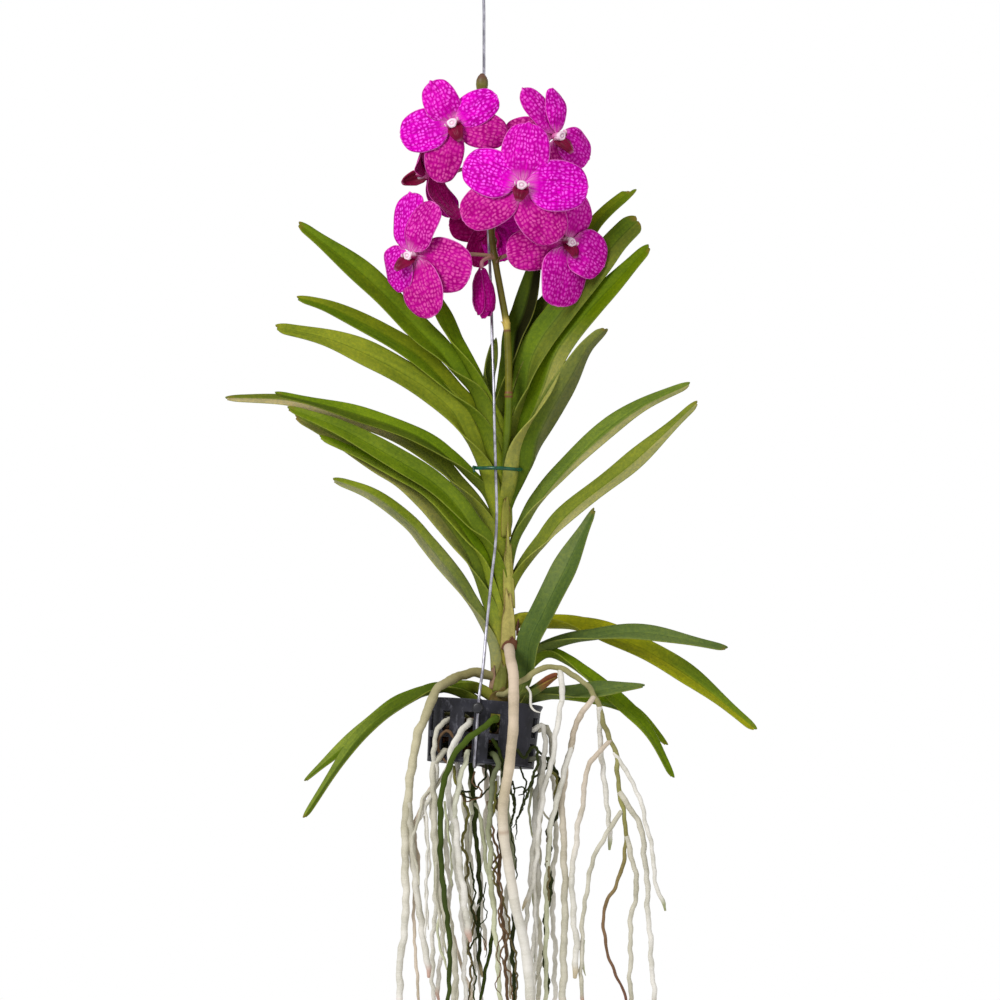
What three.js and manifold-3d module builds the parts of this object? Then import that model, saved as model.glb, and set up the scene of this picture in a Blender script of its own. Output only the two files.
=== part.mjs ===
// A vanda orchid hanging in a small slotted basket on a rigid wire.
// Millimetres, +Z up. The origin is the inner top of the wire's hook, where the plant hangs.
// The view from the front looks along +Y, with +X to the right.
import * as THREE from 'three';
import { mergeVertices } from 'three/addons/utils/BufferGeometryUtils.js';
import Module from 'manifold-3d';

const wasm = await Module();
wasm.setup();

// Driving dimensions
const GAP = 0.3;
const WIRE_RADIUS = 1.1;
const HOOK_INNER_RADIUS = 12;
const WIRE_SIDES = 6;
const WIRE_STEP = 26;
const HOOK_TURNS = [-140, -110, -80, -50, -20, 10, 40, 70, 100];
const HOOK_NECK = [[8, 0, -26], [2.4, 0, -35], [0, 0, -44]];

const BASKET = {
  rimCentre: [1, 0, -572.5],
  rimRadius: 41,
  baseRadius: 39,
  height: 46,
  wall: 1.8,
  lipWidth: 1.2,
  lipHeight: 4,
  floor: 2,
  pitch: -4,
  roll: 4.5,
};
const WINDOWS = {
  columns: 13,
  first: -15.5,
  blankColumn: 2,
  width: 7.3,
  upper: [-9.5, -24],
  lower: [-28.5, -42.5],
};
const FLOOR_SLOTS = { count: 8, width: 6, inner: 9, outer: 27 };
const RIB = { angle: -6, width: 8.6, height: 1.2 };
const CUT_PAST_WALL = 5;
const CLIP = { height: -6.5, radius: 4, length: 6, chamfer: [1.2, 1], sides: 12, out: 0.8 };
// Where the wire passes the basket's wall, as heights from the rim.
const WIRE_BESIDE_WALL = [2.5, CLIP.height, -16, -30, -44];
const WIRE_OFF_WALL = 0.2;
// The end of the wire at the basket's foot: how far below it and how far out from its edge.
const WIRE_END = [[1.4, 1.9], [3, -2.5], [1, -6.5], [-3.6, -7.5]];

const STEM_RADIUS = { body: 5.2, top: 2 };
const STEM_TAPER = [0.6, 1];
const STEM_SIDES = 6;
const STEM_STEP = 24;
const STEM_LINE = [
  [12, -564], [15, -545], [16.5, -525], [16, -498], [14.5, -468], [14, -425], [14, -381], [14, -352],
];
const STEM_FOOT = [10, 6];

const SHEATH = { inward: 7, drop: 9, length: 12, thickness: 2.6, setback: 0.4 };
const LEAF_STEP = 22;
// How much more room is kept at a leaf's thin edge than at its face.
const EDGE_CLEAR = 3;
const LEAF_THICKNESS = 2;
const LEAF_FOLD_AT_BASE = 68;
const LEAF_FOLD_AT_TIP = 14;
// The keel of a tightly folded leaf is thinned to this share of a straight cut.
const THINNEST_KEEL = 0.6;
const TURN_SPAN = [14, 95];
const FOLD_SPAN = [25, 150];
// A leaf's share of its full width at the foot and the tip, and where along it each taper runs.
const FOOT_SHARE = 0.9;
const FOOT_TAPER = [0.05, 0.35];
const TIP_SHARE = 0.4;
const TIP_TAPER = [0.68, 1];

const PETAL_THICKNESS = 1.1;
// The outline of a petal: the way along it and the share of its full width there.
const PETAL_OUTLINE = [[0.07, 0.16], [0.18, 0.62], [0.38, 0.95], [0.64, 1], [0.87, 0.78], [1, 0.36]];
// The two petals lie in front of the three sepals.
const TEPAL_FORWARD = [0.2, 1.2, 0.9, -0.9, -0.5];
const PETAL_LIFT = 3.2;
const PETAL_DROOP = 3;
const PETAL_CURL = 1.8;
const PETAL_WAVE = 0.9;
const PETAL_WAVES = 7;
// Each column of a petal: its place across and its share of the thickness.
const PETAL_COLUMNS = [[-1, 0], [-0.4, 1], [0.4, 1], [1, 0]];
// The lip's sections: how far out, how far down and half how wide.
const LIP = [[3.7, 0.9, 2.4], [5.6, 3, 5.4], [9.5, 7, 4.2], [13.5, 10.5, 2.6]];
const LIP_CUP = 1.6;
const LIP_THICKNESS = 1.6;
const BOSS = { radii: [3.2, 4.2, 3.6], front: 3.1, back: 2.5 };
const COLUMN = { radii: [2.8, 3.4, 2.2], length: 7.5 };
const BLOOM_SIDES = 7;

const COLOURS = {
  steel: 0xa9a6ad,
  clip: 0x1d1b21,
  basket: 0x3d3c4a,
  tie: 0x2f8f3c,
  stem: 0x9aa63c,
  spike: 0x6f7030,
  leaf: 0x5e7f1c,
  magenta: 0xc218a0,
  closed: 0x7a0a4a,
  lip: 0x6e0a2c,
  beige: 0xd9c9b4,
  olive: 0xc6c1a4,
  green: 0x4f6a12,
  pale: 0xd6d2c6,
};

// Each leaf: its middle line [x, z] from the stem to the tip, its width, the turn of its upper
// face toward the viewer in degrees, and how far behind the stem its middle and tip lie. One that
// is open at its foot also gives its fold and its turn there, and a narrow one its share of width.
const LEAVES = {
  leaf_left_01: { line: [[6, -358], [-7, -330], [-21, -305], [-36, -277], [-45, -262]],
    width: 18, turn: 50, depth: [1, 6] },
  leaf_left_02: { line: [[6, -372], [-3, -345], [-16, -330], [-30, -315], [-44, -303], [-85, -262],
    [-135, -223]],
    width: 22, turn: 52, depth: [1, 6] },
  leaf_left_03: { line: [[9, -394], [1, -368], [-8, -355], [-25, -338], [-44, -322], [-61, -310],
    [-112, -284], [-136, -277]],
    width: 17, turn: 46, depth: [2, 8] },
  leaf_left_04: { line: [[9, -424], [2, -398], [-10, -374], [-21, -359], [-38, -345], [-75, -323],
    [-110, -308], [-151, -299]],
    width: 22, turn: 58, depth: [-5, -12] },
  leaf_left_05: { line: [[10, -436], [3, -419], [-8, -407], [-25, -391], [-47, -378], [-98, -360],
    [-152, -347]],
    width: 16, turn: 46, depth: [2, 8], start: 3 },
  leaf_left_06: { line: [[13, -460], [4, -440], [-6, -425], [-18, -411], [-30, -399], [-47, -386],
    [-65, -376], [-98, -363], [-140, -352], [-189, -350]],
    width: 18, turn: 42, depth: [22, 30] },
  leaf_left_07: { line: [[14, -493], [11, -470], [4, -454], [-6, -442], [-20, -426], [-37, -411],
    [-61, -396], [-103, -373], [-142, -358]],
    width: 19, turn: 44, depth: [-12, -18] },
  leaf_left_08: { line: [[12, -524], [5, -499], [-6, -469], [-17, -454], [-28, -440], [-40, -425],
    [-58, -408], [-74, -398], [-97, -384], [-137, -364]],
    width: 22, turn: 56, depth: [1, -3] },
  leaf_left_09: { line: [[10, -552], [8, -530], [-2, -508], [-14, -489], [-32, -467], [-42, -455],
    [-53, -442], [-81, -421], [-109, -410]],
    width: 17, turn: 44, depth: [-3, -8] },
  leaf_left_10: { line: [[6, -568], [-8, -561], [-34, -562], [-61, -571], [-87, -591], [-131, -630]],
    width: 16, turn: 36, depth: [13, 20] },
  leaf_left_11: { line: [[5, -582], [-12, -567], [-34, -561], [-63, -574], [-91, -597], [-131, -656]],
    width: 15, turn: 36, depth: [-9, -5] },
  leaf_back: { line: [[10, -376], [4, -345], [8, -307]],
    width: 16, turn: 80, depth: [14, 18], start: 7 },
  leaf_right_01: { line: [[9, -372], [13, -345], [17, -320], [21, -303], [28, -287], [35, -261],
    [40, -238]],
    width: 19, turn: 58, depth: [3, 10] },
  leaf_right_02: { line: [[17, -376], [22, -345], [25, -322], [30, -305], [39, -289], [45, -280],
    [58, -262]],
    width: 15, turn: 50, depth: [6, 10], start: 3 },
  leaf_right_03: { line: [[19, -386], [25, -350], [34, -322], [44, -302], [52, -287], [63, -260],
    [72, -239], [80, -224], [90, -213], [108, -198]],
    width: 15, turn: 50, depth: [9, 16], start: 4 },
  leaf_right_04: { line: [[19, -394], [24, -352], [31, -325], [40, -308], [55, -288], [72, -266],
    [85, -250], [96, -236], [112, -220]],
    width: 20, turn: 58, depth: [-3, 6] },
  leaf_right_05: { line: [[18, -412], [21, -388], [26, -373], [33, -358], [41, -343], [53, -315],
    [76, -286], [97, -264], [120, -240]],
    width: 20, turn: 52, depth: [-2, -2] },
  leaf_right_06: { line: [[14, -446], [18, -425], [24, -410], [30, -396], [35, -381], [46, -361],
    [62, -334], [74, -314], [88, -300]],
    width: 23, turn: -56, depth: [-9, -15], foot: 0.55 },
  leaf_right_07: { line: [[18, -476], [22, -454], [28.5, -440], [37, -425], [49, -411], [88, -374],
    [114, -356], [150, -340]],
    width: 19, turn: 44, depth: [7, 12], foot: 0.6 },
  leaf_right_08: { line: [[17, -506], [18.6, -491], [23, -480], [29, -470], [38, -458], [56, -438],
    [104, -400], [129, -378], [155, -354]],
    width: 20, turn: 44, depth: [-4, -8], foot: 0.6 },
  leaf_right_09: { line: [[18, -518], [27, -512], [45, -513], [70, -515], [110, -530], [150, -553],
    [199, -593]],
    width: 21, turn: 46, depth: [26, 28] },
  leaf_right_10: { line: [[22, -547], [40, -534], [60, -526], [85, -522], [115, -521], [177, -533]],
    width: 18, turn: 36, depth: [3, 4] },
  leaf_right_11: { line: [[20, -560], [45, -536], [63, -542], [103, -575], [120, -593], [138, -627]],
    width: 16, turn: 36, depth: [6, 4] },
  leaf_right_12: { line: [[17, -574], [27, -554], [32, -527], [42, -507], [56, -479], [80, -432]],
    width: 22, turn: 60, depth: [-10, -18], start: -7, tip: 0.3, base: [30, 45] },
  leaf_right_13: { line: [[14, -587], [29, -571], [45, -566], [75, -563], [116, -560]],
    width: 18, turn: 44, depth: [-8, -12] },
  leaf_right_14: { line: [[15, -594], [28, -572], [45, -567], [85, -571], [110, -580], [134, -604]],
    width: 15, turn: 38, depth: [20, 26] },
  leaf_stub: { line: [[18, -584], [28, -568], [38, -562], [52, -551]],
    width: 15, turn: 50, depth: [-15, -18], start: -5, tip: 0.8 },
};

// Each bloom: its centre, the way it faces, and the tip of each tepal from the centre with its width.
const BLOOMS = {
  bloom_1: { centre: [-22, -20, -151], face: [-0.2, -0.97, 0.05], joins: [1, -168],
    tepals: [[-17, -4, 29, 26], [31, -3, 20, 25], [-39, 6, -9, 31], [-13, 2, -42, 28], [38, -6, -9, 27]] },
  bloom_2: { centre: [52, -12, -160], face: [0.62, -0.78, 0.05], joins: [0, -152],
    tepals: [[-22, -10, 34, 20], [-1, 2, 35, 18], [26, 15, -15, 28], [-37, -4, 3, 25], [3, 2, -35, 26]] },
  bloom_3: { centre: [27.5, -42, -197], face: [0, -1, 0.05], joins: [3, -196],
    tepals: [[5, 2, 45, 35], [-42, 3, 16, 34], [48, 4, -1, 37], [-43, 4, -25, 33], [25, 5, -41, 35]] },
  bloom_4: { centre: [-51, -22, -247], face: [-0.66, -0.75, 0], joins: [7.5, -247],
    tepals: [[-7, 4, 45, 27], [17, -13, 36, 24], [-20, 20, -18, 34], [11, -7, -45, 33], [40, -17, -14, 35]] },
  bloom_5: { centre: [60, -15, -237], face: [0.6, -0.8, 0], joins: [8, -250],
    tepals: [[13, 7, 36, 26], [28, 7, -17, 33], [-5, -4, -47, 34], [-42, -14, -9, 32], [-15, 4, 34, 24]] },
  bloom_6: { centre: [6, 28, -222], face: [-0.1, 0.99, 0.05], joins: [6, -236],
    tepals: [[4, 3, 36, 26], [31, 4, 6, 26], [9, 3, -27, 24], [-13, 3, -31, 22], [-31, 4, -1, 26]] },
  bloom_7: { centre: [-41, 6, -187], face: [-0.85, 0.5, 0], joins: [2.5, -182],
    tepals: [[5, 8, 32, 24], [18, 27, 14, 26], [18, 20, -28, 26], [20, 0, -34, 24], [-8, -10, 15, 20]] },
};

// The closed flower that hangs from the spike: its middle line and the radius at each point.
const CLOSED_BLOOM = {
  line: [[-1.5, -14, -256], [-1.2, -14.5, -262], [-0.5, -14.5, -270], [0.5, -14.5, -280],
    [0.8, -14, -288], [0, -13.5, -293]],
  radius: [2.4, 6, 8.4, 8.9, 7.6, 4.4],
  joins: [7.6, -249],
  steps: 7,
  sides: 12,
  furrow: { every: 4, share: 0.82 },
};

// The flower spike's middle line, from the leaf axil to below the end bud.
const SPIKE_LINE = [
  [15.5, -9, -405], [17, -13, -381], [18, -14, -350], [17.5, -11, -313], [16.4, -10, -297],
  [12.8, -8, -276], [8.5, -6, -252], [6, -5, -234], [4, -4, -205], [1.5, -3, -170], [-0.5, -3, -140],
  [-1.5, -3, -126],
];
const SPIKE_RADIUS = { foot: 3, tip: 1.9 };
const SPIKE_SIDES = 6;
const SPIKE_STEP = 20;
const END_BUD = { base: [-1.5, -3, -128], tip: [-1.2, -3.4, -115], radius: 4.8, shape: [0.75, 1, 0.92, 0.4],
  sides: 8 };
const PEDICEL = { radius: 1.7, sides: 5, step: 12, lift: 1.5, straight: 0.3, nod: 4 };

// The wire below its shank, from the top down to the clip at the basket's rim.
const WIRE_LINE = [
  [0, 0, -70], [0, 4, -108], [0, 5, -130], [2, 4.5, -200], [5, 3, -270], [5.6, 1, -290], [6.2, -6, -313],
  [7.2, -14.5, -345], [7.7, -18.5, -372], [8.5, -19.5, -401], [9.3, -20.5, -437], [8.2, -21, -459],
  [5.7, -22, -480], [3.5, -23, -502], [1.8, -25, -519], [-0.4, -33, -545],
];

const TIE = {
  centre: [10, -5, -402],
  halfWidth: 17.2,
  halfDepth: 18,
  lift: 0.6,
  radius: 1.1,
  sides: 5,
  steps: 22,
  tail: [[-15.8, -7, 0.5], [-17.8, -9, 0.8], [-17, -10.5, -2]],
};

// Roots on the stem, each with its branches: points [x, y, z] and radius at the start and the tip.
const STEM_ROOTS = {
  root_front: { colour: 'beige', parts: [
    { line: [[15, -2, -530], [18.5, -22, -531], [22, -40, -546], [22.5, -51, -566], [21, -51, -592],
      [18, -47, -620], [14, -43, -645], [14, -41, -664], [18, -37, -690], [23, -34, -720],
      [30, -31, -750], [34, -29, -790], [36, -28, -830], [35, -28, -854]], radius: [3.9, 3.5] }] },
  root_arch_left: { colour: 'olive', parts: [
    { line: [[12, -1, -555], [-5, -8, -551], [-20, -17, -554], [-34, -29, -563], [-43, -31, -583],
      [-49, -29, -600], [-54, -27, -632], [-57, -25, -660], [-57, -24, -695], [-57, -23, -730],
      [-61, -22, -762], [-61, -21, -800], [-60, -21, -838]], radius: [3.6, 2.2] },
    { line: [[-55, -26, -645], [-51, -22, -690], [-46, -20, -730], [-42, -19, -757], [-39.5, -18, -772]],
      radius: [3, 2.2] }] },
  root_arch_right: { colour: 'olive', parts: [
    { line: [[10, -4, -566], [14, -20, -567], [23, -28, -559], [36, -29, -551], [50, -28, -546],
      [64, -25, -551], [77, -22, -563], [85, -18, -578], [90, -14, -596], [96, -11, -610], [99, -8, -640],
      [104, -6, -672], [97, -5, -704], [87, -5, -727], [91, -4, -757], [104, -4, -790],
      [112, -4, -815]], radius: [2.4, 0.9] },
    { line: [[104, -6, -670], [111, -5, -702], [107, -3, -737], [107, -2, -790], [106, -2, -832]],
      radius: [2, 1.5] },
    { line: [[99, -8, -638], [113, -8, -661], [117.5, -8, -687], [120, -8, -730], [124, -6, -790],
      [124, -6, -828]], radius: [2.2, 1.7] },
    { line: [[95, -11, -609], [109, -12, -632], [121, -13, -672], [125, -13, -702], [132, -12, -724]],
      radius: [1.7, 1.5] },
    { line: [[92, -13, -600], [77, -15, -617], [72, -14, -644], [64, -12, -702], [67, -11, -746],
      [66.5, -11, -773]], radius: [1.8, 2.4] },
    { line: [[100, -8, -652], [84, -11, -677], [76, -11, -702], [71, -9, -752], [72, -9, -795]],
      radius: [1.8, 1.5] },
    { line: [[84, -19, -575], [85, -10, -598], [86, -6, -618], [90, -5, -646], [92, -4, -680]],
      radius: [2.2, 1.8] },
    { line: [[55, -27, -547], [57, -29, -567], [53, -29, -588], [51, -28, -607], [43, -26, -638],
      [39, -22, -673], [36, -19, -702], [28, -17, -722]], radius: [2.2, 1.6] },
    { line: [[80, -21, -568], [68, -20, -586], [63, -17, -605], [57, -13, -640], [58, -11, -672],
      [59, -10, -716], [58, -9, -760], [57, -8, -838]], radius: [2, 2.6] },
    { line: [[64, -17, -603], [57, -18, -629], [50, -16, -655], [46, -13, -695], [45.5, -12, -730],
      [45, -11, -775], [44, -11, -816]], radius: [2.2, 1.4] }] },
};

// Roots from inside the basket: the slot each leaves by, then its points and radii.
// A wall slot is [angle, height]; a floor slot is one angle.
const GREEN_ROOT = { wall: [12.2, -12], radius: [2.7, 2],
  line: [[8, -50, -583], [-8, -54, -595], [-22, -53, -610], [-28.5, -50, -628], [-31.5, -47, -650],
    [-31, -45, -677], [-30, -44, -702], [-26, -43, -730], [-25, -42, -775], [-31, -42, -815]] };
const BUNCH = [
  { wall: [-15.5, -16], radius: [2.4, 2.4],
    line: [[-18, -45, -594], [-24, -43, -612], [-26, -40, -637], [-22, -38, -655], [-16, -36, -702],
      [-10, -35, -745]] },
  { wall: [-43.2, -15], radius: [1.9, 1.7],
    line: [[-33, -36, -592], [-37, -36, -608], [-34, -32, -626], [-44, -28, -650], [-51, -16, -668],
      [-48, -15, -700]] },
  { wall: [-43.2, -37], radius: [2.2, 2],
    line: [[-36, -34, -618], [-36, -33, -650], [-34, -31, -690], [-30, -30, -722], [-22, -30, -755],
      [-22, -29, -800], [-24, -29, -836]] },
  { wall: [-15.5, -37], radius: [2, 1.6],
    line: [[-14, -46, -617], [-20, -42, -640], [-22, -33, -680], [-17, -30, -712], [-14, -29, -760],
      [-14, -28, -812]] },
  { wall: [12.2, -37], radius: [2.2, 1.6],
    line: [[10, -47, -616], [6, -40, -632], [4, -35, -660], [5, -31, -700], [9, -29, -746],
      [12, -27, -790], [13, -26, -822]] },
  { wall: [67.6, -16], radius: [1.9, 1.6],
    line: [[43, -18, -588], [44, -20, -606], [42, -19, -632], [38, -6, -662], [40, -4, -700],
      [36, -4, -750], [35, -4, -818]] },
  { wall: [67.6, -37], radius: [2.1, 1.5],
    line: [[41, -17, -613], [38, -18, -640], [36, -12, -676], [33, -8, -712], [30, 2, -745]] },
  { wall: [95.3, -16], radius: [2, 1.7],
    line: [[46, 4, -590], [50, 6, -620], [53, 7, -662], [50, 8, -712], [52, 8, -766], [50, 9, -820]] },
  { wall: [123, -37], radius: [2, 1.7],
    line: [[38, 22, -612], [41, 26, -650], [38, 28, -700], [41, 28, -752], [39, 28, -802]] },
  { wall: [178.4, -37], radius: [2, 1.6],
    line: [[0, 34, -614], [2, 38, -650], [-3, 38, -704], [1, 37, -756]] },
  { wall: [-126.3, -37], radius: [2, 1.6],
    line: [[-34, 22, -612], [-38, 24, -650], [-35, 24, -704], [-38, 24, -762], [-36, 24, -810]] },
  { floor: -157.5, radius: [1.8, 1.3],
    line: [[-9, 6, -640], [-10, 2, -690], [-6, -1, -742], [-9, -3, -795]] },
  { floor: -112.5, radius: [2, 1.6],
    line: [[-20, 2, -640], [-28, -2, -668], [-25, -6, -706], [-30, -8, -740], [-34, -8, -790]] },
  { floor: -67.5, radius: [1.9, 1.4],
    line: [[-16, -18, -640], [-12, -18, -662], [-13, -16, -690], [-10, -14, -724], [-12, -12, -756]] },
  { floor: -22.5, radius: [2, 1.3],
    line: [[-7, -24, -640], [-6, -22, -668], [-3, -20, -700], [-4, -18, -738], [-2, -16, -772]] },
  { floor: 22.5, radius: [1.7, 1.1],
    line: [[8, -22, -640], [12, -22, -672], [11, -20, -706], [15, -18, -742], [17, -16, -800]] },
  { floor: 67.5, radius: [2, 1.5],
    line: [[16, -10, -640], [20, -8, -676], [22, -6, -716], [21, -6, -760], [24, -6, -806]] },
  { floor: 112.5, radius: [1.8, 1.4], line: [[14, 6, -640], [18, 10, -684], [16, 12, -734], [20, 14, -790]] },
];
const ROOT_STEP = 38;
const ROOT_SIDES = 5;
const ROOT_TIP = 0.5;
const CROWN = { radius: 13, bottom: -43, top: -24, taper: 3, sides: 9 };
// How deep in the crown a root starts, and how far up it that is.
const ROOT_START = { inward: 5, wall: 0.3, floor: 7 };

const radians = THREE.MathUtils.degToRad;
const lerp = THREE.MathUtils.lerp;
const smoothstep = THREE.MathUtils.smoothstep;
const vector = (values) => new THREE.Vector3(...values);

// Closed meshes

function geometryFrom(points, triangles) {
  let volume = 0;
  const cross = new THREE.Vector3();
  for (const [a, b, c] of triangles) volume += cross.crossVectors(points[b], points[c]).dot(points[a]);
  const geometry = new THREE.BufferGeometry();
  geometry.setAttribute('position', new THREE.Float32BufferAttribute(points.flatMap((p) => p.toArray()), 3));
  geometry.setIndex(triangles.flatMap(([a, b, c]) => (volume > 0 ? [a, b, c] : [a, c, b])));
  return geometry;
}

// A tube through rings of points, closed by a flat polygon at each end.
function loft(rings) {
  const sides = rings[0].length;
  const triangles = [];
  for (let i = 0; i + 1 < rings.length; i++) {
    for (let j = 0; j < sides; j++) {
      const a = i * sides + j;
      const b = i * sides + ((j + 1) % sides);
      triangles.push([a, b, b + sides], [a, b + sides, a + sides]);
    }
  }
  const last = (rings.length - 1) * sides;
  for (let j = 1; j + 1 < sides; j++) {
    triangles.push([0, j + 1, j], [last, last + j, last + j + 1]);
  }
  return geometryFrom(rings.flat(), triangles);
}

// A blade from two like grids of points, front and back, that meet along both side edges.
function blade(front, back) {
  const rows = front.length;
  const across = front[0].length - 1;
  const points = [];
  const index = (grid, i, j) => {
    const edge = j === 0 || j === across;
    return i * (2 * across) + (grid === 0 || edge ? j : across + j);
  };
  for (let i = 0; i < rows; i++) {
    for (let j = 0; j <= across; j++) points.push(front[i][j]);
    for (let j = 1; j < across; j++) points.push(back[i][j]);
  }
  const triangles = [];
  for (let i = 0; i + 1 < rows; i++) {
    for (let j = 0; j < across; j++) {
      const [a, b, c, d] = [[i, j], [i, j + 1], [i + 1, j + 1], [i + 1, j]].map(([m, n]) => index(0, m, n));
      const [e, f, g, h] = [[i, j], [i, j + 1], [i + 1, j + 1], [i + 1, j]].map(([m, n]) => index(1, m, n));
      triangles.push([a, b, c], [a, c, d], [e, g, f], [e, h, g]);
    }
  }
  for (const [i, flip] of [[0, true], [rows - 1, false]]) {
    for (let j = 0; j < across; j++) {
      const [a, b] = [index(0, i, j), index(0, i, j + 1)];
      const [c, d] = [index(1, i, j), index(1, i, j + 1)];
      const faces = [];
      if (b !== d) faces.push([a, b, d]);
      if (a !== c) faces.push([a, d, c]);
      for (const [p, q, r] of faces) triangles.push(flip ? [p, r, q] : [p, q, r]);
    }
  }
  return geometryFrom(points, triangles);
}

// A round tube along a smooth line through the given points, with no station further than a step
// from the next, and its radius as a function of the way along it.
function tube(line, radiusAt, sides, step) {
  const curve = new THREE.CatmullRomCurve3(line, false, 'centripetal');
  const spans = line.length - 1;
  const places = [];
  for (let k = 0; k < spans; k++) {
    const parts = Math.max(1, Math.round(line[k].distanceTo(line[k + 1]) / step));
    for (let m = 0; m < parts; m++) places.push((k + m / parts) / spans);
  }
  places.push(1);
  const centres = places.map((place) => curve.getPoint(place));
  const along = [0];
  for (let i = 1; i < centres.length; i++) along.push(along[i - 1] + centres[i].distanceTo(centres[i - 1]));
  const normal = new THREE.Vector3(0, 1, 0);
  if (Math.abs(curve.getTangent(0).y) > 0.9) normal.set(1, 0, 0);
  const rings = centres.map((centre, i) => {
    const tangent = curve.getTangent(places[i]);
    normal.addScaledVector(tangent, -normal.dot(tangent)).normalize();
    const binormal = new THREE.Vector3().crossVectors(tangent, normal);
    const radius = radiusAt(along[i] / along[along.length - 1]);
    return Array.from({ length: sides }, (_, j) => {
      const angle = (2 * Math.PI * j) / sides;
      return centre.clone()
        .addScaledVector(normal, radius * Math.cos(angle))
        .addScaledVector(binormal, radius * Math.sin(angle));
    });
  });
  return loft(rings);
}

// Joining and cutting

function solid(geometry) {
  const bare = geometry.clone();
  bare.deleteAttribute('normal');
  bare.deleteAttribute('uv');
  const merged = mergeVertices(bare, 1e-4);
  return new wasm.Manifold(new wasm.Mesh({
    numProp: 3,
    vertProperties: new Float32Array(merged.attributes.position.array),
    triVerts: new Uint32Array(merged.index.array),
  }));
}

const join = (solids) => solids.reduce((all, next) => all.add(next));

// The largest shell of a solid: loose scraps and sealed hollows are left out.
function largestShell(body) {
  const mesh = body.getMesh();
  const count = mesh.vertProperties.length / 3;
  const owner = Array.from({ length: count }, (_, i) => i);
  const find = (i) => {
    while (owner[i] !== i) i = owner[i] = owner[owner[i]];
    return i;
  };
  for (let i = 0; i < mesh.triVerts.length; i += 3) {
    owner[find(mesh.triVerts[i])] = find(mesh.triVerts[i + 1]);
    owner[find(mesh.triVerts[i + 1])] = find(mesh.triVerts[i + 2]);
  }
  const point = (i) => new THREE.Vector3().fromArray(mesh.vertProperties, 3 * i);
  const volumes = new Map();
  for (let i = 0; i < mesh.triVerts.length; i += 3) {
    const [a, b, c] = [0, 1, 2].map((k) => point(mesh.triVerts[i + k]));
    const shell = find(mesh.triVerts[i]);
    volumes.set(shell, (volumes.get(shell) ?? 0) + a.dot(b.cross(c)));
  }
  const kept = [...volumes].sort((p, q) => q[1] - p[1])[0][0];
  const geometry = new THREE.BufferGeometry();
  geometry.setAttribute('position', new THREE.BufferAttribute(mesh.vertProperties, 3));
  geometry.setIndex(Array.from(mesh.triVerts).filter((_, i, all) => find(all[i - (i % 3)]) === kept));
  return mergeVertices(geometry.toNonIndexed(), 1e-4);
}

const object = new THREE.Group();

function addPart(name, geometry, colour, roughness, metalness = 0) {
  const material = new THREE.MeshStandardMaterial({ color: colour, roughness, metalness });
  const mesh = new THREE.Mesh(geometry, material);
  mesh.name = name;
  object.add(mesh);
}

// Basket

const basketFrame = new THREE.Matrix4().compose(
  vector(BASKET.rimCentre),
  new THREE.Quaternion().setFromEuler(new THREE.Euler(radians(BASKET.pitch), radians(BASKET.roll), 0)),
  new THREE.Vector3(1, 1, 1),
);

const wallRadius = (height) =>
  BASKET.rimRadius + ((BASKET.rimRadius - BASKET.baseRadius) * height) / BASKET.height;

// A point of the basket by its angle from the front, its height below the rim and its radius.
function basketPoint(angle, height, radius) {
  const turn = radians(angle);
  return vector([radius * Math.sin(turn), -radius * Math.cos(turn), height]).applyMatrix4(basketFrame);
}

const onWall = (angle, height, out = 0) => basketPoint(angle, height, wallRadius(height) + out);

// A block that stands in the wall or on it, at an angle from the front.
function wallBlock(angle, width, [top, bottom], inner, outer) {
  const block = new THREE.BoxGeometry(width, outer - inner, top - bottom);
  block.translate(0, -(inner + outer) / 2, (top + bottom) / 2);
  block.rotateZ(radians(angle));
  return solid(block);
}

function basketShell() {
  const { rimRadius, baseRadius, height, wall, lipWidth, lipHeight, floor } = BASKET;
  const underLip = wallRadius(-lipHeight);
  const profile = [
    [0, -height], [baseRadius, -height], [underLip, -lipHeight], [underLip + lipWidth, -lipHeight],
    [rimRadius + lipWidth, 0], [rimRadius - wall, 0], [baseRadius - wall, floor - height],
    [0, floor - height],
  ];
  const points = profile.map(([x, y]) => new THREE.Vector2(x, y));
  const lathe = new THREE.LatheGeometry(points, 2 * WINDOWS.columns);
  return lathe.rotateX(Math.PI / 2).rotateZ(radians(WINDOWS.first + 90 / WINDOWS.columns));
}

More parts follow.
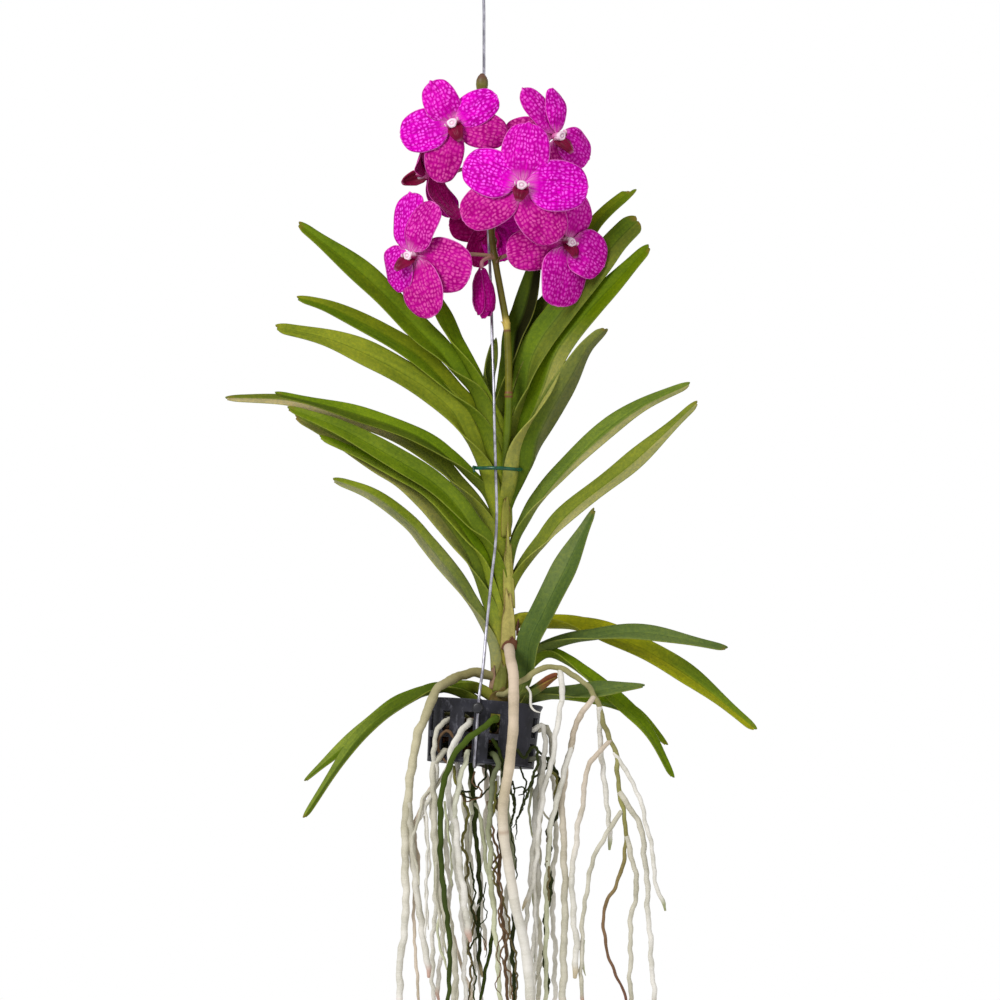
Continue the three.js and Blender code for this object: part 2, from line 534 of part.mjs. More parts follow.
function buildBasket(passing) {
  const ribSpan = [-BASKET.lipHeight / 2, -BASKET.height];
  const [inner, outer] = [BASKET.baseRadius - BASKET.wall, BASKET.rimRadius + RIB.height];
  const rib = wallBlock(RIB.angle, RIB.width, ribSpan, inner, outer);
  const core = new THREE.CylinderGeometry(
    outer, BASKET.baseRadius + RIB.height, BASKET.height, 2 * WINDOWS.columns);
  core.rotateX(Math.PI / 2).translate(0, 0, -BASKET.height / 2);
  const inside = new THREE.CylinderGeometry(
    BASKET.rimRadius - BASKET.wall, inner, BASKET.height, 2 * WINDOWS.columns);
  inside.rotateX(Math.PI / 2).translate(0, 0, BASKET.floor - BASKET.height / 2);
  let basket = solid(basketShell()).add(rib.intersect(solid(core)).subtract(solid(inside)));
  for (let column = 0; column < WINDOWS.columns; column++) {
    if (column === WINDOWS.blankColumn) continue;
    const angle = WINDOWS.first + (360 / WINDOWS.columns) * column;
    for (const span of [WINDOWS.upper, WINDOWS.lower]) {
      basket = basket.subtract(wallBlock(
        angle, WINDOWS.width, span, inner - CUT_PAST_WALL, BASKET.rimRadius + CUT_PAST_WALL));
    }
  }
  for (let slot = 0; slot < FLOOR_SLOTS.count; slot++) {
    const angle = (360 / FLOOR_SLOTS.count) * (slot + 0.5);
    const span = [BASKET.floor * 2 - BASKET.height, -BASKET.height - BASKET.floor];
    basket = basket.subtract(wallBlock(angle, FLOOR_SLOTS.width, span, FLOOR_SLOTS.inner, FLOOR_SLOTS.outer));
  }
  basket = basket.transform(basketFrame.toArray());
  for (const piece of passing) basket = basket.subtract(piece);
  return largestShell(basket);
}

// Wire, clip and tie

function wireLine() {
  const radius = HOOK_INNER_RADIUS + WIRE_RADIUS;
  const hook = HOOK_TURNS.map((angle) => new THREE.Vector3(
    radius * Math.sin(radians(angle)), 0, radius * Math.cos(radians(angle)) - HOOK_INNER_RADIUS));
  const seat = RIB.height + GAP + WIRE_RADIUS + WIRE_OFF_WALL;
  return [
    ...hook, ...HOOK_NECK.map(vector), ...WIRE_LINE.map(vector),
    ...WIRE_BESIDE_WALL.map((height) => onWall(RIB.angle, height, seat)),
    ...WIRE_END.map(([below, out]) =>
      basketPoint(RIB.angle, -BASKET.height - below, BASKET.baseRadius + out)),
  ];
}

const WIRE_POINTS = wireLine();
const wireTube = (grow) => tube(WIRE_POINTS, () => WIRE_RADIUS + grow, WIRE_SIDES, WIRE_STEP);

function buildClip() {
  const { radius, length, height, chamfer, sides } = CLIP;
  const profile = [
    [0, -length / 2], [radius - chamfer[0], -length / 2], [radius, chamfer[1] - length / 2],
    [radius, length / 2], [0, length / 2],
  ];
  const body = new THREE.LatheGeometry(profile.map(([x, y]) => new THREE.Vector2(x, y)), sides);
  const out = wallRadius(height) + RIB.height + GAP + length / 2 + CLIP.out;
  const place = new THREE.Matrix4().makeRotationZ(radians(RIB.angle)).premultiply(basketFrame)
    .multiply(new THREE.Matrix4().makeTranslation(0, -out, height));
  return largestShell(solid(body).transform(place.toArray()).subtract(solid(wireTube(GAP))));
}

// The tie: a closed ring of coated wire with a twisted end on its left.
function buildTie(grow) {
  const { centre, halfWidth, halfDepth, lift, tail, sides, steps } = TIE;
  const radius = TIE.radius + grow;
  const points = [];
  for (let i = 0; i < steps; i++) {
    const angle = (2 * Math.PI * i) / steps;
    const outward = vector([Math.cos(angle) / halfWidth, Math.sin(angle) / halfDepth, 0]).normalize();
    for (let j = 0; j < sides; j++) {
      const turn = (2 * Math.PI * j) / sides;
      const height = radius * Math.sin(turn) - lift * Math.cos(angle);
      points.push(new THREE.Vector3(halfWidth * Math.cos(angle), halfDepth * Math.sin(angle), height)
        .addScaledVector(outward, radius * Math.cos(turn)));
    }
  }
  const triangles = [];
  for (let i = 0; i < steps; i++) {
    for (let j = 0; j < sides; j++) {
      const next = ((i + 1) % steps) * sides;
      const side = (j + 1) % sides;
      triangles.push([i * sides + j, i * sides + side, next + side], [i * sides + j, next + side, next + j]);
    }
  }
  const loop = geometryFrom(points, triangles).translate(...centre);
  const twist = tube(tail.map(([x, y, z]) => vector(centre).add(vector([x, y, z]))), () => radius, sides, 5);
  return solid(loop).add(solid(twist));
}

// Stem and leaves

const stemFoot = (height) => new THREE.Vector3(STEM_FOOT[0], STEM_FOOT[1], height).applyMatrix4(basketFrame);
const stemLine = [
  stemFoot(BASKET.floor + GAP - BASKET.height), stemFoot(CROWN.top),
  ...STEM_LINE.map(([x, z]) => vector([x, 0, z])),
];

function stemCore(grow) {
  const radiusAt = (t) => lerp(STEM_RADIUS.body, STEM_RADIUS.top, smoothstep(t, ...STEM_TAPER)) + grow;
  return tube(stemLine, radiusAt, STEM_SIDES, STEM_STEP);
}

// The middle line of a leaf, with the part inside the stem as its first point.
function leafCurve({ line, depth, start = 0 }) {
  const [x0, z0] = line[0];
  const side = Math.sign(line[line.length - 1][0] - x0) || 1;
  const lengths = [0];
  for (let i = 1; i < line.length; i++) {
    lengths.push(lengths[i - 1] + Math.hypot(line[i][0] - line[i - 1][0], line[i][1] - line[i - 1][1]));
  }
  const whole = lengths[lengths.length - 1];
  const [middle, tip] = depth;
  const points = line.map(([x, z], i) => {
    const t = lengths[i] / whole;
    const bow = start * (1 - t) * (1 - 2 * t) + 4 * middle * t * (1 - t) + tip * t * (2 * t - 1);
    return new THREE.Vector3(x, bow, z);
  });
  points.unshift(vector([x0 - side * SHEATH.inward, start * SHEATH.setback, z0 - SHEATH.drop]));
  return new THREE.CatmullRomCurve3(points, false, 'centripetal');
}

// Both faces of a leaf at a distance along it, as a folded section turned about the middle line.
function leafSection(leaf, curve, distance, shape) {
  const length = curve.getLength();
  const t = Math.min(distance / length, 1);
  const centre = curve.getPointAt(t);
  const tangent = curve.getTangentAt(t);
  const side = Math.sign(curve.getPointAt(1).x - curve.getPointAt(0).x) || 1;
  const across = new THREE.Vector3(0, 1, 0).addScaledVector(tangent, -tangent.y).normalize();
  const up = new THREE.Vector3().crossVectors(tangent, across).multiplyScalar(side);
  const [baseFold, baseTurn] = leaf.base ?? [LEAF_FOLD_AT_BASE, 0];
  const roll = radians(lerp(baseTurn, leaf.turn, smoothstep(distance, ...TURN_SPAN)));
  const width = across.clone().multiplyScalar(Math.cos(roll)).addScaledVector(up, Math.sin(roll));
  const face = up.clone().multiplyScalar(Math.cos(roll)).addScaledVector(across, -Math.sin(roll));
  const fold = radians(lerp(baseFold, LEAF_FOLD_AT_TIP, smoothstep(distance, ...FOLD_SPAN)));
  const trueHalf = (leaf.width / 2) * leafWidth(leaf, t);
  // The given line is the middle of what shows from the front, and the keel lies below it.
  const rise = Math.sin(fold) * Math.cos(roll);
  const spread = Math.abs(Math.cos(fold) * Math.sin(roll));
  centre.addScaledVector(up, (-trueHalf * (Math.min(0, rise - spread) + rise + spread)) / 2);
  const half = trueHalf + EDGE_CLEAR * shape.grow;
  const upright = Math.cos(fold);
  const thickness = shape.thickness / 2 / Math.max(upright, THINNEST_KEEL) + shape.grow / upright;
  const front = [];
  const back = [];
  for (const [place, thin, reach] of shape.columns) {
    const middle = centre.clone()
      .addScaledVector(width, place * half * Math.cos(fold))
      .addScaledVector(face, Math.abs(place) * half * Math.sin(fold))
      .addScaledVector(tangent, reach);
    front.push(middle.clone().addScaledVector(face, thin * thickness));
    back.push(middle.clone().addScaledVector(face, -thin * thickness));
  }
  return [front, back];
}

const FLAT_END = [[-1, 0, 0], [0, 1, 0], [1, 0, 0]];
const BITTEN_END = [[-1, 0, 0.5], [0, 1, -0.8], [1, 0, 1.8]];

// The share of a leaf's full width at a way along it: narrower at the foot and toward the tip.
function leafWidth({ foot = FOOT_SHARE, tip = TIP_SHARE }, t) {
  return lerp(foot, 1, smoothstep(t, ...FOOT_TAPER)) * lerp(1, tip, smoothstep(t, ...TIP_TAPER));
}

function leafSolid(leaf, from, to, thickness, grow) {
  const curve = leafCurve(leaf);
  const steps = Math.max(1, Math.round((to - SHEATH.length) / LEAF_STEP));
  const fronts = [];
  const backs = [];
  for (let i = 0; i <= steps; i++) {
    const distance = lerp(from, to, i / steps);
    const tip = i === steps && to >= curve.getLength() - 1;
    const columns = tip ? BITTEN_END : FLAT_END;
    const [front, back] = leafSection(leaf, curve, distance, { thickness, grow, columns });
    fronts.push(front);
    backs.push(back);
  }
  return blade(fronts, backs);
}

// The sheath belongs to the stem, and the blade starts where the sheath ends.
function leafBlade(leaf, grow) {
  const end = leafCurve(leaf).getLength();
  return solid(leafSolid(leaf, SHEATH.length + GAP - grow, end, LEAF_THICKNESS, grow));
}

const leafSheath = (leaf, grow) => leafSolid(leaf, 0, SHEATH.length + grow, SHEATH.thickness, grow);

const stemWithSheaths = (grow) => join(
  [stemCore(grow), ...Object.values(LEAVES).map((leaf) => leafSheath(leaf, grow))].map(solid));

// Flower spike and blooms

function petal([x, y, z, width], face, forward) {
  const reach = new THREE.Vector3(x, y, z);
  const length = reach.length();
  const along = reach.normalize();
  const normal = face.clone().addScaledVector(along, -face.dot(along)).normalize();
  const across = new THREE.Vector3().crossVectors(normal, along);
  const fronts = [];
  const backs = [];
  for (const [t, open] of PETAL_OUTLINE) {
    const half = (width / 2) * open;
    const lift = PETAL_LIFT * Math.sin(Math.PI * t) - PETAL_DROOP * t * t;
    const front = [];
    const back = [];
    for (const [place, thin] of PETAL_COLUMNS) {
      const curl = (PETAL_WAVE * place * Math.sin(PETAL_WAVES * t) - PETAL_CURL * place * place) * open;
      const middle = along.clone().multiplyScalar(length * t)
        .addScaledVector(across, place * half)
        .addScaledVector(normal, lift + curl + forward);
      front.push(middle.clone().addScaledVector(normal, (thin * PETAL_THICKNESS) / 2));
      back.push(middle.clone().addScaledVector(normal, (-thin * PETAL_THICKNESS) / 2));
    }
    fronts.push(front);
    backs.push(back);
  }
  return solid(blade(fronts, backs));
}

// A short round piece along a direction, from one distance to another.
function stub(direction, from, to, [first, middle, last]) {
  const line = [from, (from + to) / 2, to].map((d) => direction.clone().multiplyScalar(d));
  const radiusAt = (t) => (t < 0.5 ? lerp(first, middle, 2 * t) : lerp(middle, last, 2 * t - 1));
  return tube(line, radiusAt, BLOOM_SIDES, to - from);
}

function buildBloom({ centre, face, tepals }) {
  const facing = vector(face).normalize();
  const boss = solid(stub(facing, -BOSS.back, BOSS.front, BOSS.radii));
  return join([boss, ...tepals.map((tepal, i) => petal(tepal, facing, TEPAL_FORWARD[i]))]).translate(centre);
}

// The white column over the dark lip, which points forward and away from the first tepal.
function buildLip({ centre, face, tepals }) {
  const facing = vector(face).normalize();
  const up = new THREE.Vector3(...tepals[0].slice(0, 3));
  up.addScaledVector(facing, -up.dot(facing)).normalize();
  const across = new THREE.Vector3().crossVectors(up, facing);
  const start = BOSS.front + GAP;
  const column = stub(facing, start, start + COLUMN.length, COLUMN.radii);
  const front = [];
  const back = [];
  for (const [out, drop, half] of LIP) {
    const rows = [[], []];
    for (const [place, thin] of [[-1, 0], [0, 1], [1, 0]]) {
      const middle = facing.clone().multiplyScalar(out).addScaledVector(up, LIP_CUP * Math.abs(place) - drop)
        .addScaledVector(across, place * half);
      rows[0].push(middle.clone().addScaledVector(up, (thin * LIP_THICKNESS) / 2));
      rows[1].push(middle.clone().addScaledVector(up, (-thin * LIP_THICKNESS) / 2));
    }
    front.push(rows[0]);
    back.push(rows[1]);
  }
  return solid(column).add(solid(blade(front, back))).translate(centre);
}

function pedicelLine({ centre, face, joins }) {
  const facing = vector(face).normalize();
  const end = vector(centre).addScaledVector(facing, -BOSS.back - GAP);
  const start = spikePoint(joins);
  const bend = end.clone().addScaledVector(facing, -PEDICEL.straight * end.distanceTo(start));
  return [start, start.clone().lerp(bend, 0.5).add(vector([0, 0, PEDICEL.lift])), bend, end];
}

// The point of the spike's middle line at a height.
function spikePoint([, height]) {
  const above = SPIKE_LINE.findIndex((point) => point[2] > height);
  const [low, high] = [vector(SPIKE_LINE[above - 1]), vector(SPIKE_LINE[above])];
  return low.lerp(high, (height - low.z) / (high.z - low.z));
}

// The stalk of the closed flower, which nods over it.
function closedPedicelLine() {
  const top = vector(CLOSED_BLOOM.line[0]);
  const start = spikePoint(CLOSED_BLOOM.joins);
  const nod = vector([0, 0, PEDICEL.nod]);
  const end = top.clone().add(vector([0, 0, 2 * GAP]));
  return [start, start.clone().lerp(top, 0.5).add(nod), top.clone().add(nod), end];
}

function buildSpike(grow) {
  const { foot, tip } = SPIKE_RADIUS;
  const stalk = tube(SPIKE_LINE.map(vector), (t) => lerp(foot, tip, t) + grow, SPIKE_SIDES, SPIKE_STEP);
  const { shape, sides } = END_BUD;
  const [base, end] = [vector(END_BUD.base), vector(END_BUD.tip)];
  const budRadius = (t) => END_BUD.radius * shape[Math.round((shape.length - 1) * t)] + grow;
  const bud = tube([base, end], budRadius, sides, base.distanceTo(end) / (shape.length - 1));
  const lines = [...Object.values(BLOOMS).map(pedicelLine), closedPedicelLine()];
  const pedicels = lines.map((line) => tube(line, () => PEDICEL.radius + grow, PEDICEL.sides, PEDICEL.step));
  return join([stalk, bud, ...pedicels].map(solid));
}

function buildClosedBloom() {
  const { line, radius, steps, sides, furrow } = CLOSED_BLOOM;
  const curve = new THREE.CatmullRomCurve3(line.map(vector), false, 'centripetal');
  const frames = curve.computeFrenetFrames(steps, false);
  const rings = [];
  for (let i = 0; i <= steps; i++) {
    const t = (i / steps) * (radius.length - 1);
    const low = Math.min(Math.floor(t), radius.length - 2);
    const size = lerp(radius[low], radius[low + 1], t - low);
    const ring = [];
    for (let j = 0; j < sides; j++) {
      const angle = (2 * Math.PI * j) / sides;
      const lobe = size * (j % furrow.every === 0 ? furrow.share : 1);
      ring.push(curve.getPointAt(i / steps)
        .addScaledVector(frames.normals[i], lobe * Math.cos(angle))
        .addScaledVector(frames.binormals[i], lobe * Math.sin(angle)));
    }
    rings.push(ring);
  }
  return loft(rings);
}

// Roots

function rootTube({ line, radius }, grow = 0) {
  const [start, tip] = radius;
  return tube(line.map((point) => (point.isVector3 ? point : vector(point))),
    (t) => lerp(start, tip, t) * (t < 1 ? 1 : ROOT_TIP) + grow, ROOT_SIDES, ROOT_STEP);
}

// A point in the crown by its direction from the crown's middle.
function crownPoint(angle, height, radius) {
  const turn = radians(angle);
  const [x, y] = STEM_FOOT;
  return vector([x + radius * Math.sin(turn), y - radius * Math.cos(turn), height]).applyMatrix4(basketFrame);
}

// The whole line of a root that starts in the crown and leaves by a slot of the basket.
function throughSlot({ wall, floor, line, radius }) {
  const angle = wall ? wall[0] : floor;
  const height = wall ? lerp(CROWN.top, CROWN.bottom, ROOT_START.wall) : CROWN.bottom + ROOT_START.floor;
  const start = crownPoint(angle, height, CROWN.radius - ROOT_START.inward);
  const points = wall
    ? [start, onWall(wall[0], wall[1] - 1, -10), onWall(wall[0], wall[1] - 2, 0)]
    : [start, basketPoint(angle, -BASKET.height + 5, 17), basketPoint(angle, -BASKET.height - 1, 18)];
  return { line: [...points, ...line.map(vector)], radius };
}

function crownBody() {
  const { radius, bottom, top, taper, sides } = CROWN;
  const core = new THREE.CylinderGeometry(radius - taper, radius, top - bottom, sides);
  core.rotateX(Math.PI / 2).translate(STEM_FOOT[0], STEM_FOOT[1], (top + bottom) / 2);
  return solid(core).transform(basketFrame.toArray());
}

// A body less those of the others that it would touch.
function clearOf(body, others) {
  for (const other of others) {
    if (!body.intersect(other).isEmpty()) body = body.subtract(other);
  }
  return body;
}

const stemClear = stemWithSheaths(GAP);
const wireClear = solid(wireTube(GAP + 0.1));
const tieClear = buildTie(GAP);

const bunchRoots = BUNCH.map(throughSlot);
const greenRoot = throughSlot(GREEN_ROOT);
const passing = [...bunchRoots, greenRoot].map((root) => solid(rootTube(root, GAP + 0.15)));

addPart('wire_hanger', wireTube(0), COLOURS.steel, 0.35, 0.9);
addPart('wire_clip', buildClip(), COLOURS.clip, 0.6);
addPart('basket', buildBasket([...passing, wireClear]), COLOURS.basket, 0.55);
addPart('plant_tie', largestShell(buildTie(0)), COLOURS.tie, 0.5);
addPart('stem', largestShell(stemWithSheaths(0)), COLOURS.stem, 0.6);
addPart('flower_spike', largestShell(buildSpike(0).subtract(stemClear)), COLOURS.spike, 0.6);

// Each leaf is cut clear of the stem, the spike, the tie and the leaves before it.
const cleared = [stemClear, buildSpike(GAP), tieClear];
for (const [name, leaf] of Object.entries(LEAVES)) {
  addPart(name, largestShell(clearOf(leafBlade(leaf, 0), cleared)), COLOURS.leaf, 0.5);
  cleared.push(leafBlade(leaf, 2 * GAP));
}
for (const [name, bloom] of Object.entries(BLOOMS)) {
  const flower = buildBloom(bloom);
  const ahead = flower.translate(vector(bloom.face).setLength(GAP).toArray());
  addPart(name, largestShell(flower), COLOURS.magenta, 0.55);
  addPart(`${name}_lip`, largestShell(clearOf(buildLip(bloom), [flower, ahead])), COLOURS.lip, 0.45);
}
addPart('bloom_closed', buildClosedBloom(), COLOURS.closed, 0.55);

for (const [name, { colour, parts }] of Object.entries(STEM_ROOTS)) {
  const roots = join(parts.map((part) => solid(rootTube(part))));
  addPart(name, largestShell(clearOf(roots, cleared)), COLOURS[colour], 0.85);
}
const greenClear = solid(rootTube(greenRoot, GAP));
const crown = join([crownBody(), ...bunchRoots.map((root) => solid(rootTube(root)))]);
addPart('root_bunch', largestShell(crown.subtract(stemClear).subtract(greenClear)), COLOURS.pale, 0.85);
addPart('root_green', rootTube(greenRoot), COLOURS.green, 0.7);

export default object;
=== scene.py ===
import math
from itertools import count

import bmesh
import bpy
import numpy as np
from mathutils import Euler, Matrix, Vector


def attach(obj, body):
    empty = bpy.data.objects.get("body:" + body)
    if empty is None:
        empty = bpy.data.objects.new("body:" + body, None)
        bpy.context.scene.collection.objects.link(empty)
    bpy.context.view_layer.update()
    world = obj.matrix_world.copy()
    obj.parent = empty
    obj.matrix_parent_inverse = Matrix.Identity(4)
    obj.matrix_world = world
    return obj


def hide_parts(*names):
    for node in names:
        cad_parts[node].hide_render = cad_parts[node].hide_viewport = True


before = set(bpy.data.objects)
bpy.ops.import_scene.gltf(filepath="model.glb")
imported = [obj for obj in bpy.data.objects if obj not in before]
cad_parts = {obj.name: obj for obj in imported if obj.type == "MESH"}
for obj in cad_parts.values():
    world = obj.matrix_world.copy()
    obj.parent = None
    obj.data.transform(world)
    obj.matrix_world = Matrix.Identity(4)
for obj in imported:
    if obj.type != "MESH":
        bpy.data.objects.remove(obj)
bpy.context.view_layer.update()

# All lengths below are in millimetres and turn into metres when a piece is made.
MM = 0.001

# Camera: a long lens level with the middle of the photo's frame.
VIEW_CENTRE = (11.7, -425.0)
VIEW_DISTANCE = 5000.0
VIEW_WIDTH = 730.0
SENSOR = 36.0

# Values shared with the part's source.
WIRE_RADIUS = 1.1
WIRE_STEP = 2.2
HOOK_INNER_RADIUS = 12.0
BASKET = dict(rim=(1.0, 0.0, -572.5), rim_radius=41.0, base_radius=39.0, height=46.0, wall=1.8, lip_width=1.2,
              lip_height=4.0, floor=2.0, pitch=-4.0, roll=4.5)
WINDOWS = dict(columns=13, first=-15.5, blank=2, width=7.3, upper=(-9.5, -24.0), lower=(-28.5, -42.5))
FLOOR_SLOTS = dict(count=8, half_turn=9.0, inner=9.0, outer=27.0)
RIB = dict(angle=-6.0, half_turn=6.2, height=1.2)
CLIP = dict(height=-6.5, radius=4.0, length=6.0)
WIRE_BESIDE_WALL = (2.5, -6.5, -16, -30, -44)
WIRE_OFF_WALL = 0.2
WIRE_END = ((1.4, 1.9), (3, -2.5), (1, -6.5), (-3.6, -7.5))
GAP = 0.3
BEVEL = dict(width=0.35, angle=40.0)
FOOT_RING = dict(height=1.2, radius=1.0, inward=0.85)

STEM_LINE = [(12, -564), (15, -545), (16.5, -525), (16, -498), (14.5, -468), (14, -425), (14, -381),
             (14, -352)]
STEM_FOOT = (10.0, 6.0)
CROWN = dict(radius=13.0, bottom=-43.0, top=-24.0)
# Sheaths of old leaves round the stem, seen from the front: foot, direction, half width, length, distance
# from the stem's middle, colour.
STEM_PLATES = [(-452, 20, 34, 32, 7.0, (134, 134, 46)), (-504, 22, 34, 58, 7.8, (176, 172, 80)),
               (-534, 10, 38, 44, 8.6, (192, 180, 100)), (-524, 66, 12, 12, 8.9, (110, 66, 48)),
               (-534, 24, 44, 9, 9.6, (116, 72, 50)), (-565, -8, 32, 22, 9.2, (126, 130, 54)),
               (-563, -52, 26, 17, 8.8, (160, 128, 104)), (-572, 10, 60, 10, 9.6, (120, 104, 54))]
PLATE_EDGE = (122, 84, 52)

# The sheath of a leaf, which runs down the stem below its foot.
SHEATH_INWARD = 7.0
SHEATH_DROP = 9.0
SHEATH_STEPS = (42.0, 28.0, 14.0)
SHEATH_SHOWS_FROM = 11.0
SHEATH_FLANK = 9.6
SHEATH_OFF = {-1: -1.2, 1: 1.8}
NO_SHEATH_BELOW = -553
FOLD_AT_BASE = 68.0
FOLD_AT_TIP = 14.0
TURN_SPAN = (14.0, 95.0)
FOLD_SPAN = (15.0, 115.0)
# The foot of a leaf round the stem: how far it stands off on the left and on the right, how that
# grows along the leaf, where it ends, and how far across each half the bend reaches.
CLASP = {-1: 3.9, 1: 3.3}
CLASP_SLOPE = 0.055
CLASP_SPAN = (8.0, 44.0)
CLASP_BEND = 0.6
FOOT_SHARE = 1.12
FOOT_TAPER = (0.05, 0.35)
TIP_SHARE = 0.4
TIP_TAPER = (0.68, 1.0)
TIP_ROUND = 9.0
TIP_ROWS = (6.0, 4.4, 3.0, 2.0, 1.2, 0.6, 0.25)
LEAF_STEP = 3.2

# Leaf colours that more than one leaf has, and those of the sheaths and of dead tissue.
FRESH = (96, 122, 14)
GRASS = (84, 108, 12)
BLUISH = (88, 108, 58)
SHEATH_GREEN = (122, 134, 34)
SHEATH_DRY = (160, 148, 76)
DEAD_LEAF = (140, 84, 62)

# How far each tepal stands forward, and how dull it is: 0 is bright magenta, 1 the redder ground below.
TEPAL_FORWARD = (0.2, 1.2, 0.9, -0.9, -0.5)
TEPAL_DULL = (0.3, 0.0, 0.0, 1.0, 1.0)


def leaf(width, turn, depth, hue, *line, **more):
    """A leaf: its width, its turn about its length, the depth of its middle and tip, its line as (x, z).

    More may give its lower half's colour (low), which is partly the paler underside that shows there and
    partly painted shade where that half faces away from the light, where along it that starts (low_span)
    and how far across it reaches (strip), the outer part's colour (outer), the depth at the stem (start), the
    fold and turn at the base (base), the shares of the width at the foot and the tip, and the slant of the
    tip.
    """
    return dict(width=width, turn=turn, depth=depth, hue=hue, line=line, **more)


def bloom(centre, face, joins, lip, *tepals, forward=TEPAL_FORWARD, dull=TEPAL_DULL):
    """A flower: its middle, where it looks, the height of its stalk's foot, its lip's reach, its tepals.

    A tepal is its reach from the middle and its width.
    """
    return dict(centre=centre, face=face, joins=joins, lip=lip, tepals=tepals, forward=forward, dull=dull)


def root(radius, hue, *line, **more):
    """A root: its radius at both ends, its colours along it, its line, and where it leaves the basket."""
    return dict(radius=radius, hue=hue, line=line, **more)


# A leaf's low colour on its lower half is partly painted shade, where that half faces away from the light,
# and partly the paler underside that shows there; the first right leaf's nearly black one is painted shade.
LEFT_LEAVES = [
    leaf(18, 50, (1, 6), (98, 126, 12), (6, -358), (-7, -330), (-21, -305), (-36, -277), (-45, -262)),
    leaf(23, 54, (1, 6), (92, 118, 22), (6, -372), (-3, -345), (-16, -330), (-30, -315), (-44, -303),
         (-85, -262), (-135, -223), low=GRASS, foot=1.3),
    leaf(20, 50, (2, 8), (108, 122, 24), (9, -394), (1, -370), (-8, -356), (-25, -339), (-44, -322),
         (-61, -310), (-112, -284), (-136, -277), low=GRASS, foot=1.3),
    leaf(23, 58, (-5, -12), (120, 134, 40), (9, -424), (2, -398), (-10, -374), (-21, -359), (-38, -345),
         (-75, -323), (-110, -308), (-151, -299), foot=1.25),
    leaf(16, 46, (2, 8), (100, 126, 22), (10, -436), (3, -419), (-8, -407), (-25, -391), (-47, -378),
         (-98, -360), (-152, -347), low=(74, 92, 18), start=3),
    leaf(18, 42, (22, 30), (104, 116, 40), (13, -460), (4, -440), (-6, -425), (-18, -411), (-30, -399),
         (-47, -386), (-65, -376), (-98, -363), (-140, -352), (-189, -350), low=(172, 164, 128),
         low_span=(0.42, 0.6)),
    leaf(20, 50, (-12, -18), (100, 122, 34), (14, -493), (11, -470), (4, -454), (-6, -442), (-20, -426),
         (-37, -411), (-61, -396), (-103, -373), (-142, -358), low=(92, 116, 20)),
    leaf(22, 56, (1, -3), (108, 128, 44), (12, -524), (5, -499), (-6, -469), (-17, -454), (-28, -440),
         (-40, -425), (-58, -408), (-74, -398), (-97, -384), (-137, -364), low=(140, 144, 84),
         low_span=(0.2, 0.4)),
    leaf(17, 44, (-3, -8), (112, 126, 66), (10, -552), (8, -530), (-2, -508), (-14, -489), (-32, -467),
         (-42, -455), (-53, -442), (-81, -421), (-109, -410), low=(140, 146, 112), outer=(118, 136, 40),
         tip=0.6),
    leaf(16, 36, (13, 20), GRASS, (6, -568), (-8, -561), (-34, -562), (-61, -571), (-87, -591), (-131, -630),
         outer=(114, 134, 54)),
    leaf(15, 36, (-9, -5), (72, 92, 18), (5, -582), (-12, -567), (-34, -561), (-63, -574), (-91, -597),
         (-131, -656), outer=(116, 136, 56)),
]
RIGHT_LEAVES = [
    leaf(20, 58, (3, 10), (58, 76, 8), (9, -372), (13, -345), (17, -320), (21, -303), (28, -287), (35, -261),
         (40, -238), low=(24, 26, 4), low_span=(0.3, 0.5)),
    leaf(18, 52, (6, 10), (62, 82, 10), (17, -376), (22, -345), (25, -322), (30, -305), (39, -289),
         (45, -280), (58, -262), low=(66, 74, 28), start=3),
    leaf(17, 52, (9, 16), (96, 116, 14), (19, -386), (25, -350), (34, -322), (44, -302), (52, -287),
         (63, -260), (72, -239), (80, -224), (90, -213), (108, -198), low=GRASS, tip=0.6, slant=-3.0,
         start=4),
    leaf(24, 60, (-3, 6), (88, 112, 26), (19, -394), (24, -352), (31, -325), (40, -308), (55, -288),
         (72, -266), (85, -250), (96, -236), (112, -220), low=(96, 110, 40), tip=0.85),
    leaf(23, 54, (-8, -4), (84, 108, 4), (18, -412), (21, -388), (26, -373), (33, -358), (41, -343),
         (53, -315), (76, -286), (97, -264), (120, -240), low=(144, 148, 84), tip=0.5, low_span=(0.72, 0.45),
         start=-6),
    leaf(23, -56, (-9, -15), (66, 94, 8), (14, -446), (18, -425), (24, -410), (30, -396), (35, -381),
         (46, -361), (62, -334), (74, -314), (88, -300), low=(98, 106, 74), foot=0.55, outer=(104, 116, 62),
         low_span=(0.2, 0.4), start=2),
    leaf(19, 44, (7, 12), (100, 122, 48), (18, -476), (22, -454), (28.5, -440), (37, -425), (49, -411),
         (88, -374), (114, -356), (150, -340), low=(146, 148, 104), foot=0.6, strip=-0.35,
         low_span=(0.2, 0.4)),
    leaf(20, 44, (-4, -8), (112, 126, 44), (17, -506), (18.6, -491), (23, -480), (29, -470), (38, -458),
         (56, -438), (104, -400), (129, -378), (155, -354), low=(150, 152, 104), foot=0.6, strip=-0.15,
         low_span=(0.2, 0.4)),
    leaf(21, 46, (26, 28), (152, 158, 26), (18, -518), (27, -512), (45, -513), (70, -515), (110, -530),
         (150, -553), (199, -593), outer=(104, 128, 34)),
    leaf(18, 36, (3, 4), BLUISH, (22, -547), (40, -534), (60, -526), (85, -522), (115, -521), (177, -533)),
    leaf(16, 36, (6, 4), FRESH, (20, -560), (45, -536), (63, -542), (103, -575), (120, -593), (138, -627)),
    leaf(22, 60, (-10, -18), (78, 100, 50), (17, -574), (27, -554), (32, -527), (42, -507), (56, -479),
         (80, -432), outer=(96, 114, 66), start=-7, tip=0.3, base=(30, 45)),
    leaf(18, 44, (-8, -12), BLUISH, (14, -587), (29, -571), (45, -566), (75, -563), (116, -560)),
    leaf(15, 38, (20, 26), FRESH, (15, -594), (28, -572), (45, -567), (85, -571), (110, -580), (134, -604)),
]
